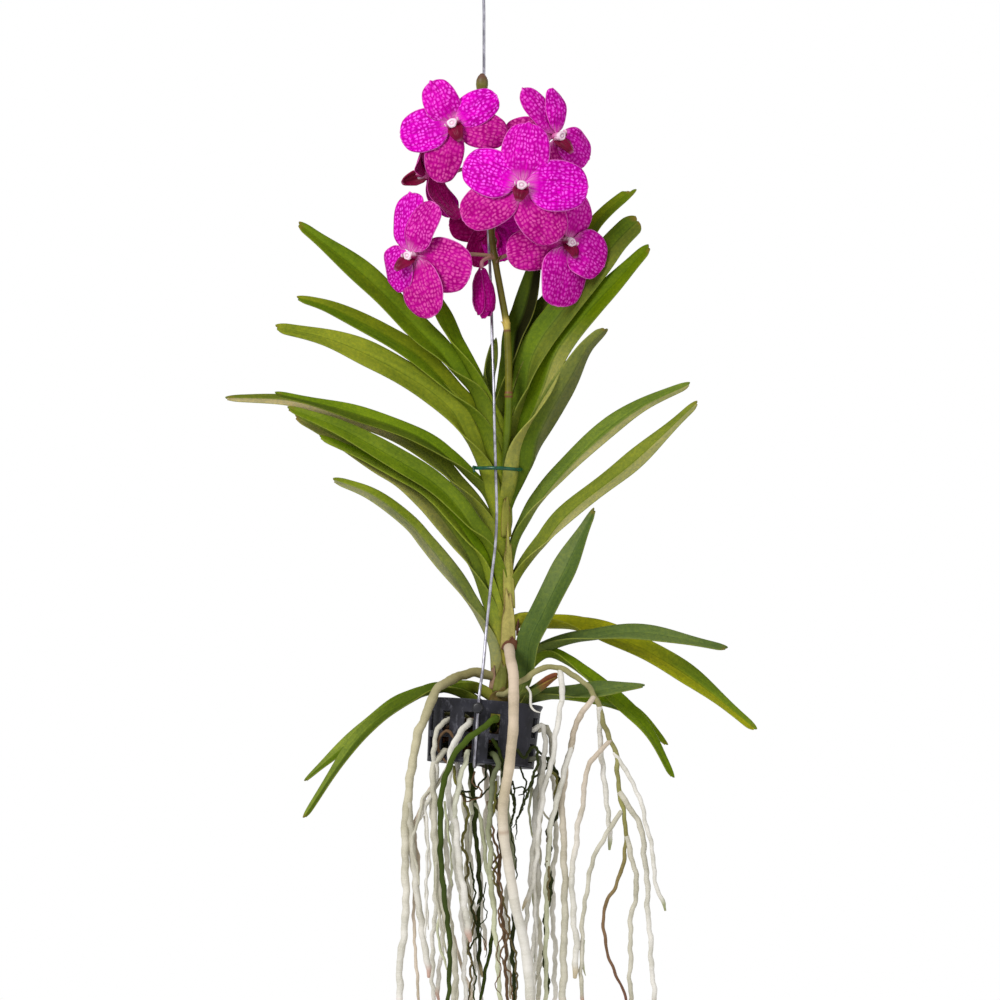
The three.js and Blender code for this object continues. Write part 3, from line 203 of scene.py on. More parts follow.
LEAVES = {
    **{f"leaf_left_{k:02}": data for k, data in enumerate(LEFT_LEAVES, 1)},
    "leaf_back": leaf(16, 80, (14, 18), (104, 122, 48), (10, -376), (4, -345), (8, -307), start=7),
    **{f"leaf_right_{k:02}": data for k, data in enumerate(RIGHT_LEAVES, 1)},
    "leaf_stub": leaf(15, 50, (-15, -18), BLUISH, (18, -584), (28, -568), (38, -562), (52, -551), start=-5,
                      tip=0.8, dead=0.72),
}
# A narrow leaf that the solids leave out.
EXTRA_LEAF = leaf(15, 50, (-6, -10), (98, 126, 14), (12, -508), (6, -484), (0, -465), (-13, -447),
                  (-24, -434), (-34, -423), (-46, -413), (-80, -396), (-119, -379), low=(120, 140, 40))

BLOOMS = {f"bloom_{k}": data for k, data in enumerate([
    bloom((-22, -20, -151), (-0.2, -0.97, 0.05), -168, (6.5, 0, -14), (-17, -4, 29, 26), (31, -3, 20, 25),
          (-39, 6, -9, 31), (-13, 2, -42, 28), (38, -6, -9, 27)),
    bloom((52, -12, -160), (0.62, -0.78, 0.05), -152, (7, 0, -13), (-22, -10, 34, 20), (-1, 2, 35, 18),
          (26, 15, -15, 28), (-37, -4, 3, 25), (3, 2, -35, 26), dull=(0.45, 0.3, 0.4, 1.0, 1.0)),
    bloom((27.5, -42, -197), (0, -1, 0.05), -196, (-2.5, 0, -12.5), (5, 2, 45, 35), (-42, 3, 16, 34),
          (48, 4, -1, 37), (-43, 4, -25, 33), (25, 5, -41, 35)),
    bloom((-51, -22, -247), (-0.66, -0.75, 0), -247, (-8, 0, -11), (-4.5, 4, 45, 33), (16, -13, 37, 27),
          (-20, 20, -18, 34), (11, -7, -45, 36), (40, -17, -14, 39), forward=(0.2, 3.6, 0.9, -0.9, -0.5),
          dull=(0.2, 0.8, 0.3, 1.0, 1.0)),
    bloom((60, -15, -237), (0.6, -0.8, 0), -250, (2, 0, -12), (13, 7, 36, 26), (28, 7, -17, 36),
          (-5, -4, -47, 41), (-42, -14, -9, 32), (-15, 4, 34, 24), dull=(0.7, 0.5, 0.55, 1.0, 1.0)),
    bloom((6, 28, -222), (-0.1, 0.99, 0.05), -236, (0, 0, -12), (4, 3, 36, 26), (31, 4, 6, 26),
          (9, 3, -27, 24), (-13, 3, -31, 22), (-31, 4, -1, 26)),
    bloom((-41, 6, -187), (-0.85, 0.5, 0), -182, (-12, -6, -6), (5, 8, 32, 24), (18, 27, 14, 26),
          (18, 20, -28, 26), (20, 0, -34, 24), (-8, -10, 15, 20)),
], 1)}
PETAL_OUTLINE = [(0.0, 0.1), (0.07, 0.18), (0.18, 0.68), (0.38, 0.99), (0.64, 1.0), (0.87, 0.78), (0.96, 0.5),
                 (1.01, 0.12)]
PETAL_THICKNESS = 0.8
PETAL_LIFT = 3.2
PETAL_DROOP = 3.0
PETAL_CURL = 1.8
PETAL_WAVE = 0.9
PETAL_POINT = (1.6, 0.5, 0.5, 0.5, 0.5)
DOT_SPACING = 2.6
BOSS_BACK = 2.5

CLOSED_LINE = [(-1.5, -14, -256), (-1.2, -14.5, -262), (-0.5, -14.5, -270), (0.5, -14.5, -280),
               (0.8, -14, -288), (0, -13.5, -293)]
CLOSED_RADIUS = (2.4, 6, 8.4, 8.9, 7.6, 4.4)
CLOSED_JOINS = -249.0
# The sheets of the closed flower: direction, half of its turn, where it starts and ends, size.
CLOSED_SHEETS = [(40, 75, 0.02, 0.86, 0.87), (-62, 66, 0.0, 0.93, 0.91), (-10, 60, 0.1, 1.0, 0.72),
                 (120, 80, 0.0, 0.95, 0.84), (200, 85, 0.04, 0.9, 0.89)]
# The column of a flower: distance along its axis and radius, then the colour of each ring.
COLUMN_PROFILE = [(-2.0, 2.0), (-0.8, 2.9), (0.6, 3.3), (1.9, 3.0), (3.2, 2.8), (4.5, 3.0), (5.6, 3.5),
                  (6.6, 3.7), (7.4, 3.4), (7.9, 2.8), (8.0, 2.1), (7.6, 1.8), (7.3, 1.4), (7.6, 1.0),
                  (7.9, 0.6), (8.0, 0.2)]
COLUMN_HUES = [(200, 60, 150)] * 2 + [(220, 110, 178)] * 2 + [(236, 170, 212)] * 2 + [(248, 222, 238)] * 4 + [
    (246, 220, 236), (236, 196, 218), (222, 170, 200), (240, 208, 224), (250, 232, 242), (250, 232, 242)]

SPIKE_LINE = [(14.5, -4, -405), (16.6, -11.5, -381), (18, -14, -350), (17.5, -11, -313), (16.4, -10, -297),
              (12.8, -8, -276), (8.5, -6, -252), (6, -5, -234), (4, -4, -205), (1.5, -3, -170),
              (-0.5, -3, -140), (-1.5, -3, -126)]
SPIKE_RADIUS = (3.0, 1.9)
SPIKE_NODES = (-348.5, -296.5)
# Height, half length and colour of the rings at the bare nodes of the spike.
SPIKE_RINGS = [(-297.0, 4.6, (196, 172, 84)), (-302.0, 0.9, (96, 58, 40)), (-346.9, 0.8, (120, 70, 48)),
               (-350.0, 0.8, (110, 62, 44))]
# The colour of the spike changes to each of these between two heights, from the foot up.
SPIKE_FOOT_HUE = (92, 110, 10)
SPIKE_HUES = [((108, 106, 18), -352, -347), ((92, 80, 22), -320, -250)]
BUD_BASE = (-1.5, -3, -128)
BUD_TIP = (-1.2, -3.4, -114.6)
BUD_SHARES = (0, 0.2, 0.45, 0.7, 0.9, 1)
BUD_RADII = (2.94, 4.312, 4.9, 4.655, 3.43, 1.96)
PEDICEL_RADIUS = 1.7

WIRE_LINE = [(8, 0, -26), (2.4, 0, -35), (0, 0, -44), (0, 0, -70), (0, 4, -108), (0, 5, -130), (2, 4.5, -200),
             (5, 3, -270), (5.6, 1, -290), (6.2, -6, -313), (7.2, -14.5, -345), (7.7, -18.5, -372),
             (8.5, -19.5, -401), (9.3, -20.5, -437), (8.2, -21, -459), (5.7, -22, -480), (3.5, -23, -502),
             (1.8, -25, -519), (-0.4, -33, -545)]
TIE = dict(centre=(10, -5, -402), half_width=17.2, half_depth=18.0, lift=0.6, radius=1.32)
TIE_TAIL = [(-15.8, -7, 0.5), (-17.8, -9, 0.8), (-17, -10.5, -2)]
TAIL_STRAND = dict(radius=0.682, off=0.62, twist=1.9)

# Root colours.
WHITE = (234, 230, 222)
BEIGE = (216, 200, 182)
GREY = (210, 205, 188)
PALE_GREEN = (202, 204, 172)
OLIVE_ROOT = (126, 124, 62)
OLIVE_ROOT_END = (110, 98, 66)
GREEN_ROOT_HUE = (52, 66, 10)
DARK_GREEN = (48, 56, 20)
ARCH = (166, 160, 112)
BROWN = (118, 92, 68)
ROOT_TIP_HUES = ((196, 150, 132), (150, 158, 86), (188, 170, 130))
TANGLE_HUES = ((120, 116, 100), (74, 52, 34), (34, 42, 14), (96, 56, 26), (70, 68, 32))

STEM_ROOTS = {
    "root_front": [
        root((3.9, 3.5), ((214, 194, 172), (216, 200, 174), WHITE, WHITE), (18.3, -2, -534),
             (18.4, -20, -533.5), (19.5, -36, -541), (21.4, -47, -552), (21.6, -51, -570), (21, -51, -592),
             (18, -47, -620), (14, -43, -645), (14, -41, -664), (18, -37, -690), (23, -34, -720),
             (30, -31, -750), (34, -29, -790), (36, -28, -830), (35, -28, -854), wiggle=0.12),
    ],
    "root_arch_left": [
        root((3.6, 2.2), ((152, 144, 98), (204, 196, 164), (220, 214, 196), WHITE, WHITE), (12, -1, -555),
             (-5, -8, -551), (-20, -17, -554), (-34, -29, -563), (-43, -31, -583), (-49, -29, -600),
             (-54, -27, -632), (-57, -25, -660), (-57, -24, -695), (-57, -23, -730), (-61, -22, -762),
             (-61, -21, -800), (-60, -21, -838), wiggle=0.6),
        root((3, 2.2), (GREY, WHITE), (-55, -26, -645), (-51, -22, -690), (-46, -20, -730), (-42, -19, -757),
             (-39.5, -18, -772), wiggle=0.6),
    ],
    "root_arch_right": [
        root((2.4, 0.9), (ARCH, ARCH, (152, 150, 88), (136, 110, 80), (116, 78, 66)), (10, -4, -566),
             (14, -20, -567), (23, -28, -559), (36, -29, -551), (50, -28, -546), (64, -25, -551),
             (77, -22, -563), (85, -18, -578), (90, -14, -596), (96, -11, -610), (99, -8, -640),
             (104, -6, -672), (97, -5, -704), (87, -5, -727), (91, -4, -757), (104, -4, -790),
             (112, -4, -815), wiggle=0.8),
        root((2, 1.5), (GREY, GREY), (104, -6, -670), (111, -5, -702), (107, -3, -737), (107, -2, -790),
             (106, -2, -832), wiggle=1),
        root((2.2, 1.7), (GREY, WHITE), (99, -8, -638), (113, -8, -661), (117.5, -8, -687), (120, -8, -730),
             (124, -6, -790), (124, -6, -828), wiggle=0.8),
        root((1.7, 1.5), (WHITE, WHITE), (95, -11, -609), (109, -12, -632), (121, -13, -672),
             (125, -13, -702), (132, -12, -724), wiggle=0.8),
        root((1.8, 2.4), (BEIGE, WHITE), (92, -13, -600), (77, -15, -617), (72, -14, -644), (64, -12, -702),
             (67, -11, -746), (66.5, -11, -773), wiggle=0.8),
        root((1.8, 1.5), (GREY, GREY), (100, -8, -652), (84, -11, -677), (76, -11, -702), (71, -9, -752),
             (72, -9, -795), wiggle=0.8),
        root((2.2, 1.8), (WHITE, WHITE), (84, -19, -575), (85, -10, -598), (86, -6, -618), (90, -5, -646),
             (92, -4, -680), wiggle=0.8),
        root((2.2, 1.6), (WHITE, WHITE), (55, -27, -547), (57, -29, -567), (53, -29, -588), (51, -28, -607),
             (43, -26, -638), (39, -22, -673), (36, -19, -702), (28, -17, -722), wiggle=0.8),
        root((2.2, 2.9), (BEIGE, GREY), (80, -21, -568), (68, -20, -586), (63, -17, -605), (57, -13, -640),
             (58, -11, -672), (59, -10, -716), (58, -9, -760), (57, -8, -838), wiggle=0.7),
        root((2.2, 1.4), (WHITE, PALE_GREEN), (64, -17, -603), (57, -18, -629), (50, -16, -655),
             (46, -13, -695), (45.5, -12, -730), (45, -11, -775), (44, -11, -816), wiggle=0.8),
    ],
}
GREEN_ROOT = root((2.6, 1.5), ((76, 98, 16), (62, 76, 28)), (8, -50, -583), (-8, -54, -595), (-22, -53, -610),
                  (-28.5, -50, -628), (-31.5, -47, -650), (-31, -45, -677), (-30, -44, -702),
                  (-26, -43, -730), (-25, -42, -775), (-31, -42, -815), wall=(12.2, -12), wiggle=0.7)
BUNCH = [
    root((2.4, 2.4), (WHITE, WHITE), (-18, -45, -594), (-24, -43, -612), (-26, -40, -637), (-22, -38, -655),
         (-16, -36, -702), (-10, -35, -745), wall=(-15.5, -16)),
    root((1.9, 1.7), (GREY, WHITE), (-33, -36, -592), (-37, -36, -608), (-34, -32, -626), (-44, -28, -650),
         (-51, -16, -668), (-48, -15, -700), wall=(-43.2, -15)),
    root((2.2, 2), (GREY, GREY), (-36, -34, -618), (-36, -33, -650), (-34, -31, -690), (-30, -30, -722),
         (-22, -30, -755), (-22, -29, -800), (-24, -29, -836), wall=(-43.2, -37)),
    root((2, 1.6), (PALE_GREEN, WHITE), (-14, -46, -617), (-20, -42, -640), (-22, -33, -680),
         (-17, -30, -712), (-14, -29, -760), (-14, -28, -812), wall=(-15.5, -37)),
    root((2.2, 1.6), (GREEN_ROOT_HUE, PALE_GREEN), (10, -47, -616), (6, -40, -632), (4, -35, -660),
         (5, -31, -700), (9, -29, -746), (12, -27, -790), (13, -26, -822), wall=(12.2, -37)),
    root((1.9, 1.6), (WHITE, WHITE), (43, -18, -588), (44, -20, -606), (42, -19, -632), (38, -6, -662),
         (40, -4, -700), (36, -4, -750), (35, -4, -818), wall=(67.6, -16)),
    root((2.1, 1.5), (DARK_GREEN, WHITE), (41, -17, -613), (38, -18, -640), (36, -12, -676), (33, -8, -712),
         (30, 2, -745), wall=(67.6, -37)),
    root((2, 1.7), (GREY, WHITE), (46, 4, -590), (50, 6, -620), (53, 7, -662), (50, 8, -712), (52, 8, -766),
         (50, 9, -820), wall=(95.3, -16)),
    root((2, 1.7), (GREY, GREY), (38, 22, -612), (41, 26, -650), (38, 28, -700), (41, 28, -752),
         (39, 28, -802), wall=(123, -37)),
    root((2, 1.6), (BEIGE, WHITE), (0, 34, -614), (2, 38, -650), (-3, 38, -704), (1, 37, -756),
         wall=(178.4, -37)),
    root((2, 1.6), (GREY, WHITE), (-34, 22, -612), (-38, 24, -650), (-35, 24, -704), (-38, 24, -762),
         (-36, 24, -810), wall=(-126.3, -37)),
    root((1.8, 1.3), (PALE_GREEN, WHITE), (-9, 6, -640), (-10, 2, -690), (-6, -1, -742), (-9, -3, -795),
         floor=-157.5),
    root((2, 1.6), (GREY, WHITE), (-20, 2, -640), (-28, -2, -668), (-25, -6, -706), (-30, -8, -740),
         (-34, -8, -790), floor=-112.5),
    root((1.9, 1.4), (WHITE, GREY), (-16, -18, -640), (-12, -18, -662), (-13, -16, -690), (-10, -14, -724),
         (-12, -12, -756), floor=-67.5),
    root((2, 1.3), (GREEN_ROOT_HUE, DARK_GREEN), (-7, -24, -640), (-6, -22, -668), (-3, -20, -700),
         (-4, -18, -738), (-2, -16, -772), floor=-22.5),
    root((1.7, 1.1), (DARK_GREEN, BROWN), (8, -22, -640), (12, -22, -672), (11, -20, -706), (15, -18, -742),
         (17, -16, -800), floor=22.5),
    root((2, 1.5), (PALE_GREEN, DARK_GREEN), (16, -10, -640), (20, -8, -676), (22, -6, -716), (21, -6, -760),
         (24, -6, -806), floor=67.5),
    root((1.8, 1.4), (GREY, WHITE), (14, 6, -640), (18, 10, -684), (16, 12, -734), (20, 14, -790),
         floor=112.5),
]
# Thin roots that the solids leave out: radius at the start and the end, colour, depth, whether it is
# crinkled, and its line as (x, z).
THIN_ROOTS = [
    (1.3, 1.0, GREY, -30, 0, (-24, -612), (-34, -632), (-43, -640), (-49, -662), (-52, -670), (-49, -691),
     (-47, -704)),
    (1.1, 0.8, WHITE, -30, 0, (-43, -640), (-41, -670), (-41, -688), (-42, -717), (-42, -743)),
    (1.2, 0.9, GREY, -31, 0, (-36, -630), (-36, -659), (-34, -680), (-35, -695), (-34, -717), (-31, -735),
     (-27, -754)),
    (1.3, 0.9, OLIVE_ROOT, -14, 1, (38, -612), (50, -622), (53, -629), (52, -644), (47, -673), (47, -695),
     (47, -717)),
    (1.2, 0.9, WHITE, -16, 0, (36, -700), (37, -715), (38, -745), (37, -773), (35, -800)),
    (1.3, 0.8, DARK_GREEN, -34, 1, (24, -606), (30, -612), (35, -604), (39, -606), (37, -622), (32, -636),
     (28, -650)),
    (1.4, 0.9, GREEN_ROOT_HUE, -42, 1, (6, -598), (10, -604), (13, -616), (14, -628), (9, -640)),
    (1.2, 0.9, BROWN, -37, 0, (-20, -600), (-27, -592), (-33, -598), (-32, -609), (-24, -618)),
    (1.3, 0.6, DARK_GREEN, -25, 1, (16, -610), (19, -633), (22, -644), (21, -655), (20, -664)),
    (0.7, 0.5, DARK_GREEN, -22, 1, (24, -614), (30, -630), (28, -646), (24, -660), (23, -672)),
    (1.0, 0.8, WHITE, -46, 0, (31, -560), (33.5, -564), (34.5, -569), (34.2, -574), (37, -577.5),
     (41, -579)),
    (0.8, 0.6, DARK_GREEN, -26, 1, (1.6, -614.8), (0.7, -625.8), (-6.6, -634.9), (-16.6, -637.6),
     (-8.4, -641.8), (1.6, -636.7), (6.6, -629.4)),
    (1.2, 0.8, OLIVE_ROOT, -24, 1, (-22.1, -618.4), (-20.3, -629.4), (-14.8, -640.4), (-11.7, -654.9),
     (-15.7, -673.2), (-11.1, -691.4), (-13.5, -702.4), (-8.4, -720.6), (-6.6, -733.4), (-11.1, -746.2),
     (-9.3, -762.6), (-11.1, -791.8)),
    (0.7, 0.6, DARK_GREEN, -27, 1, (-10.2, -687.8), (-6.6, -709.7), (-8.8, -724.3), (-4.4, -737.1),
     (-10.2, -753.5), (-6.2, -769.9), (-8.4, -791.8)),
    (0.45, 0.4, DARK_GREEN, -29, 1, (1.6, -702.4), (-0.5, -717), (2.9, -726.1), (-2.6, -733.4),
     (0.7, -746.2), (1.6, -757.1)),
    (1.4, 1.2, GREEN_ROOT_HUE, -18, 0, (7.3, -731.6), (3.8, -755.3), (0.7, -771.8), (-3.3, -791.8)),
    (0.9, 0.6, BROWN, -28, 1, (2.6, -644), (7.1, -669.5), (10.2, -682.3), (6.2, -691.4), (12, -702.4),
     (12.6, -717), (10.2, -727.9), (17.2, -742.5), (12, -755.3), (19, -769.9), (20.8, -791.8)),
    (1.2, 0.7, OLIVE_ROOT, -22, 1, (8.9, -629.4), (7.7, -644), (4.7, -662.2), (4.4, -673.2),
     (8.9, -687.8), (6.9, -696.9), (12, -711.5), (17.2, -726.1), (19, -742.5), (23, -757.1),
     (23.7, -791.8)),
    (0.5, 0.4, BROWN, -31, 1, (11.7, -720.6), (13.9, -737.1), (9.5, -751.7), (12, -768.1), (8.6, -775.4),
     (11.7, -784.5)),
    (0.7, 0.5, DARK_GREEN, -20, 1, (20.8, -629.4), (23, -644), (19.9, -658.6), (20.8, -673.2),
     (23.7, -687.8), (22.6, -704.2)),
    (0.6, 0.5, DARK_GREEN, -24, 1, (21.2, -634.9), (29, -634), (29.9, -644), (24.5, -654.9),
     (21.2, -663.2)),
    (1.0, 0.7, DARK_GREEN, -20, 1, (39.4, -607.5), (46.7, -614.8), (44.2, -621.2), (37.2, -626.7),
     (32.1, -635.2), (25.9, -640.7)),
    (1.7, 1.3, DARK_GREEN, -8, 1, (46.4, -613), (54, -626.7), (52.9, -640.4), (52.2, -654.9),
     (46.4, -669.5), (48.5, -682.3), (46, -691.4), (49.3, -702.4), (46.4, -720.6), (44.2, -733.4),
     (45.6, -746.2), (43.4, -759), (46.4, -771.8), (45.3, -791.8)),
    (1.0, 0.8, PALE_GREEN, -12, 0, (35.4, -625.8), (34.5, -636.7), (33.2, -654.9), (35.4, -673.2)),
    (1.2, 0.9, GREY, -6, 0, (46.4, -629.4), (40.9, -647.6), (37.8, -665.9), (40.9, -684.1),
     (37.2, -702.4), (33.6, -713.4), (27.4, -724.3)),
    (1.0, 0.8, PALE_GREEN, -2, 0, (38.7, -687.8), (36.3, -709.7), (37.2, -727.9), (38.3, -746.2),
     (37.2, -764.4)),
    (0.8, 0.7, GREY, -10, 0, (35, -634.9), (40.9, -647.6), (48.2, -659), (53.7, -663)),
    (0.9, 0.8, PALE_GREEN, -30, 0, (-28.5, -644), (-27.4, -654.9), (-24.8, -673.2), (-23, -705.1)),
    (1.0, 0.9, PALE_GREEN, -26, 0, (-20.3, -654.9), (-18.2, -673.2), (-16.4, -691.4), (-17.5, -717.9)),
    (1.1, 0.9, PALE_GREEN, -24, 0, (-35.8, -684.1), (-34.9, -709.7), (-32.1, -724.3), (-33.9, -737.1),
     (-27, -766.3)),
    (1.0, 0.8, WHITE, -22, 0, (-43.1, -654.9), (-40.9, -676.9), (-39.4, -691.4), (-42.2, -706),
     (-40.3, -737.1)),
    (1.6, 1.3, PALE_GREEN, -20, 0, (-10.2, -636.7), (-2.9, -654.9), (-0.2, -673.2), (1.1, -687.8),
     (6.2, -709.7), (8.4, -738.9)),
    (1.2, 0.9, WHITE, -22, 0, (10.2, -625.8), (9.1, -645.8), (11.3, -664.1)),
    (1.0, 0.9, GREY, -4, 0, (43.6, -760.8), (37.2, -777.2), (34.7, -791.8)),
    (1.2, 1.0, WHITE, -16, 0, (-8.4, -654.9), (-6.6, -673.2), (-4.4, -687.8), (-2, -706), (-6.6, -733.4),
     (-4.7, -764.4), (-0.7, -791.8)),
    (1.2, 1.0, BEIGE, -10, 0, (-22.1, -742.5), (-17.5, -760.8), (-13.5, -771.8), (-6.6, -791.8)),
    (1.5, 1.2, GREY, -14, 0, (-39.4, -636.7), (-36.7, -654.9), (-33.9, -673.2), (-31.2, -691.4),
     (-26.6, -718.8), (-22.1, -742.5), (-20.3, -764.4), (-19.3, -791.8)),
    (1.3, 1.1, BEIGE, -20, 0, (-28.5, -625.8), (-39.4, -634.9), (-44, -644), (-50.4, -662.2),
     (-47.6, -691.4), (-50, -709.7), (-51.3, -727.9), (-49.5, -755.3), (-47.6, -791.8)),
    (0.9, 0.7, PALE_GREEN, -4, 0, (72.8, -746.2), (71.9, -759), (74.1, -771.8)),
    (0.7, 0.5, BROWN, -34, 1, (-6.6, -622.1), (-8.4, -629.4), (-1.1, -636.7), (-12, -644),
     (-17.5, -636.7)),
]
# A root thicker than this is smoother than the others, and a scar rings it at one height.
THICK_ROOT = 3.8
SCAR = dict(height=-666.0, half=0.9, hue=(150, 104, 70))
# The waves of a root's course and of its radius: size, shortest and longest.
COURSE_WAVES = ((0.55, 30, 46), (0.5, 15, 24), (0.28, 8, 12))
KNOT_WAVES = ((0.06, 20, 34), (0.045, 9, 14), (0.03, 4.5, 6))
# A root's own course begins this far from where it starts in the basket.
BASKET_FADE = 40
TANGLE = dict(roots=22, turns=6, bottom=-41, top=-12, seed=200, line_seed=5)
THIN_SEED = 100
THIN_LINE_SEED = 300


# Small numeric helpers


def smoothstep(x, low, high):
    t = np.clip((np.asarray(x, float) - low) / (high - low), 0.0, 1.0)
    return t * t * (3 - 2 * t)


def lerp(a, b, t):
    return a + (b - a) * t


def unit(v):
    v = np.asarray(v, float)
    return v / np.linalg.norm(v, axis=-1, keepdims=True)


def stack(*values):
    """The values side by side in a new last axis, each stretched to their common shape."""
    return np.stack(np.broadcast_arrays(*values), axis=-1)


def around(turn, radius, height):
    """A point at a distance from the upright axis. Turn 0 is the front."""
    return stack(radius * np.sin(turn), -radius * np.cos(turn), height)


def rgb(colour):
    """A display colour of 0 to 255 as linear values."""
    c = np.asarray(colour, float) / 255
    return np.where(c <= 0.04045, c / 12.92, ((c + 0.055) / 1.055) ** 2.4)


def change(t, low, high, first, last):
    """The colour that runs from the first to the last while t goes from low to high."""
    return lerp(rgb(first), rgb(last), smoothstep(t, low, high)[..., None])


class Line:
    """A smooth line through the given points, with places along it in millimetres."""

    def __init__(self, points, per_span=20):
        p = np.array(points, float)
        ends = [2 * p[0] - p[1], *p, 2 * p[-1] - p[-2]]
        dense = []
        for k in range(len(p) - 1):
            p0, p1, p2, p3 = ends[k:k + 4]
            d0, d1, d2 = (max(np.sum((b - a) ** 2) ** 0.25, 1e-4) for a, b in ((p0, p1), (p1, p2), (p2, p3)))
            t1 = ((p1 - p0) / d0 - (p2 - p0) / (d0 + d1) + (p2 - p1) / d1) * d1
            t2 = ((p2 - p1) / d1 - (p3 - p1) / (d1 + d2) + (p3 - p2) / d2) * d1
            w = np.linspace(0, 1, per_span, endpoint=False)[:, None]
            dense.append(p1 + t1 * w + (3 * (p2 - p1) - 2 * t1 - t2) * w ** 2
                         + (2 * (p1 - p2) + t1 + t2) * w ** 3)
        self.dense = np.vstack([*dense, p[-1:]])
        steps = np.linalg.norm(np.diff(self.dense, axis=0), axis=1)
        self.along = np.concatenate([[0], np.cumsum(steps)])
        self.length = self.along[-1]

    def at(self, s):
        return stack(*(np.interp(s, self.along, self.dense[:, k]) for k in range(3)))

    def tangent(self, s):
        return unit(self.at(np.minimum(s + 0.4, self.length)) - self.at(np.maximum(s - 0.4, 0)))


def curve(pairs, x):
    """The height at x of a smooth curve through (x, y) pairs."""
    dense = Line([(*pair, 0) for pair in pairs], 12).dense
    return np.interp(x, dense[:, 0], dense[:, 1])


def at_height(points, z):
    """Where a line of points, listed from the foot up, passes a height."""
    x, y, heights = np.array(points, float).T
    return stack(np.interp(z, heights, x), np.interp(z, heights, y), z)


def ripple(rng, s, waves, pitch=1.0):
    """Sine waves along s, each with its size and with a random length and phase."""
    sized = [(size, rng.uniform(low, high) * pitch) for size, low, high in waves]
    return sum(size * np.sin(2 * np.pi * s / length + rng.uniform(0, 6.3)) for size, length in sized)


# Making pieces


def mesh_object(name, verts, faces, material, attributes=None, smooth=True):
    mesh = bpy.data.meshes.new(name)
    mesh.from_pydata((np.asarray(verts, float) * MM).tolist(), [], faces)
    for key, values in (attributes or {}).items():
        layer = mesh.attributes.new(key, "FLOAT_VECTOR", "POINT")
        layer.data.foreach_set("vector", np.asarray(values, np.float32).ravel())
    mesh.polygons.foreach_set("use_smooth", [smooth] * len(mesh.polygons))
    mesh.materials.append(material)
    mesh.update()
    return link_object(name, mesh)


def link_object(name, data):
    obj = bpy.data.objects.new(name, data)
    bpy.context.scene.collection.objects.link(obj)
    return obj


def place_piece(obj, slot, *nodes):
    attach(obj, "root")
    if nodes:
        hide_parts(*nodes)


class Builder:
    """Collects the vertices and faces of one piece, with its tint, measure and share at each vertex."""

    def __init__(self):
        self.verts = []
        self.faces = []
        self.values = {"tint": [], "measure": [], "share": []}
        self.count = 0

    def add(self, verts, faces, **values):
        verts = np.reshape(verts, (-1, 3))
        self.verts.append(verts)
        self.faces += [[i + self.count for i in face] for face in faces]
        for key, rows in self.values.items():
            rows.append(np.broadcast_to(values.get(key, 0.0), verts.shape))
        self.count += len(verts)

    def place(self, name, material, slot, *nodes):
        attributes = {key: np.vstack(rows) for key, rows in self.values.items()}
        place_piece(mesh_object(name, np.vstack(self.verts), self.faces, material, attributes), slot, *nodes)


def rings_into(piece, rings, values):
    """A closed body through rings of points. Each value has a row for every ring."""
    sides, last = len(rings[0]), len(rings) - 1
    faces = [[i * sides + j, i * sides + k, (i + 1) * sides + k, (i + 1) * sides + j]
             for i in range(last) for j, k in enumerate([*range(1, sides), 0])]
    faces += [list(range(sides))[::-1], [last * sides + j for j in range(sides)]]
    values = {key: np.repeat(value, sides, axis=0) for key, value in values.items()}
    piece.add(np.vstack(rings), faces, **values)


def tube_into(piece, centres, radii, sides, domed=True, lobes=None, **values):
    """A tube along the centres, its radius given at each one, with domed ends."""
    size = len(centres)
    centres = np.asarray(centres, float)
    radii = np.broadcast_to(radii, (size,))
    values = {key: np.broadcast_to(value, (size, 3)) for key, value in values.items()}
    tangents = unit(np.gradient(centres, axis=0))
    if domed:
        low = [centres[0] - tangents[0] * radii[0] * k for k in (0.45, 0.3)]
        high = [centres[-1] + tangents[-1] * radii[-1] * k for k in (0.3, 0.45)]
        centres = np.vstack([low, centres, high])
        ends = [0, 0, *range(size), -1, -1]
        tangents, values = tangents[ends], {key: value[ends] for key, value in values.items()}
        radii = radii[ends] * np.array([0.35, 0.8, *[1.0] * size, 0.8, 0.35])
    normal = np.array([0.0, 1.0, 0.0]) if abs(tangents[0][1]) < 0.9 else np.array([1.0, 0.0, 0.0])
    angles = np.linspace(0, 2 * np.pi, sides, endpoint=False)
    shape = 1.0 if lobes is None else lobes(angles)
    rings = []
    for centre, tangent, radius in zip(centres, tangents, radii):
        normal = unit(normal - tangent * np.dot(normal, tangent))
        binormal = np.cross(tangent, normal)
        rings.append(centre + radius * (np.outer(np.cos(angles) * shape, normal)
                                        + np.outer(np.sin(angles) * shape, binormal)))
    rings_into(piece, rings, values)


def lathe_into(piece, axes, origin, profile, sides, lobes=0.0, **values):
    """A closed turned body: profile holds (distance along the middle axis, radius) from end to end."""
    angles = np.linspace(0, 2 * np.pi, sides, endpoint=False)
    shape = 1 + lobes * (np.cos(2 * angles) + 0.9 * np.sin(3 * angles + 1) + 0.6 * np.cos(5 * angles))
    x, z = shape * np.cos(angles), shape * np.sin(angles)
    rings = [stack(radius * x, along, radius * z) @ axes + origin for along, radius in profile]
    rings_into(piece, rings, values)


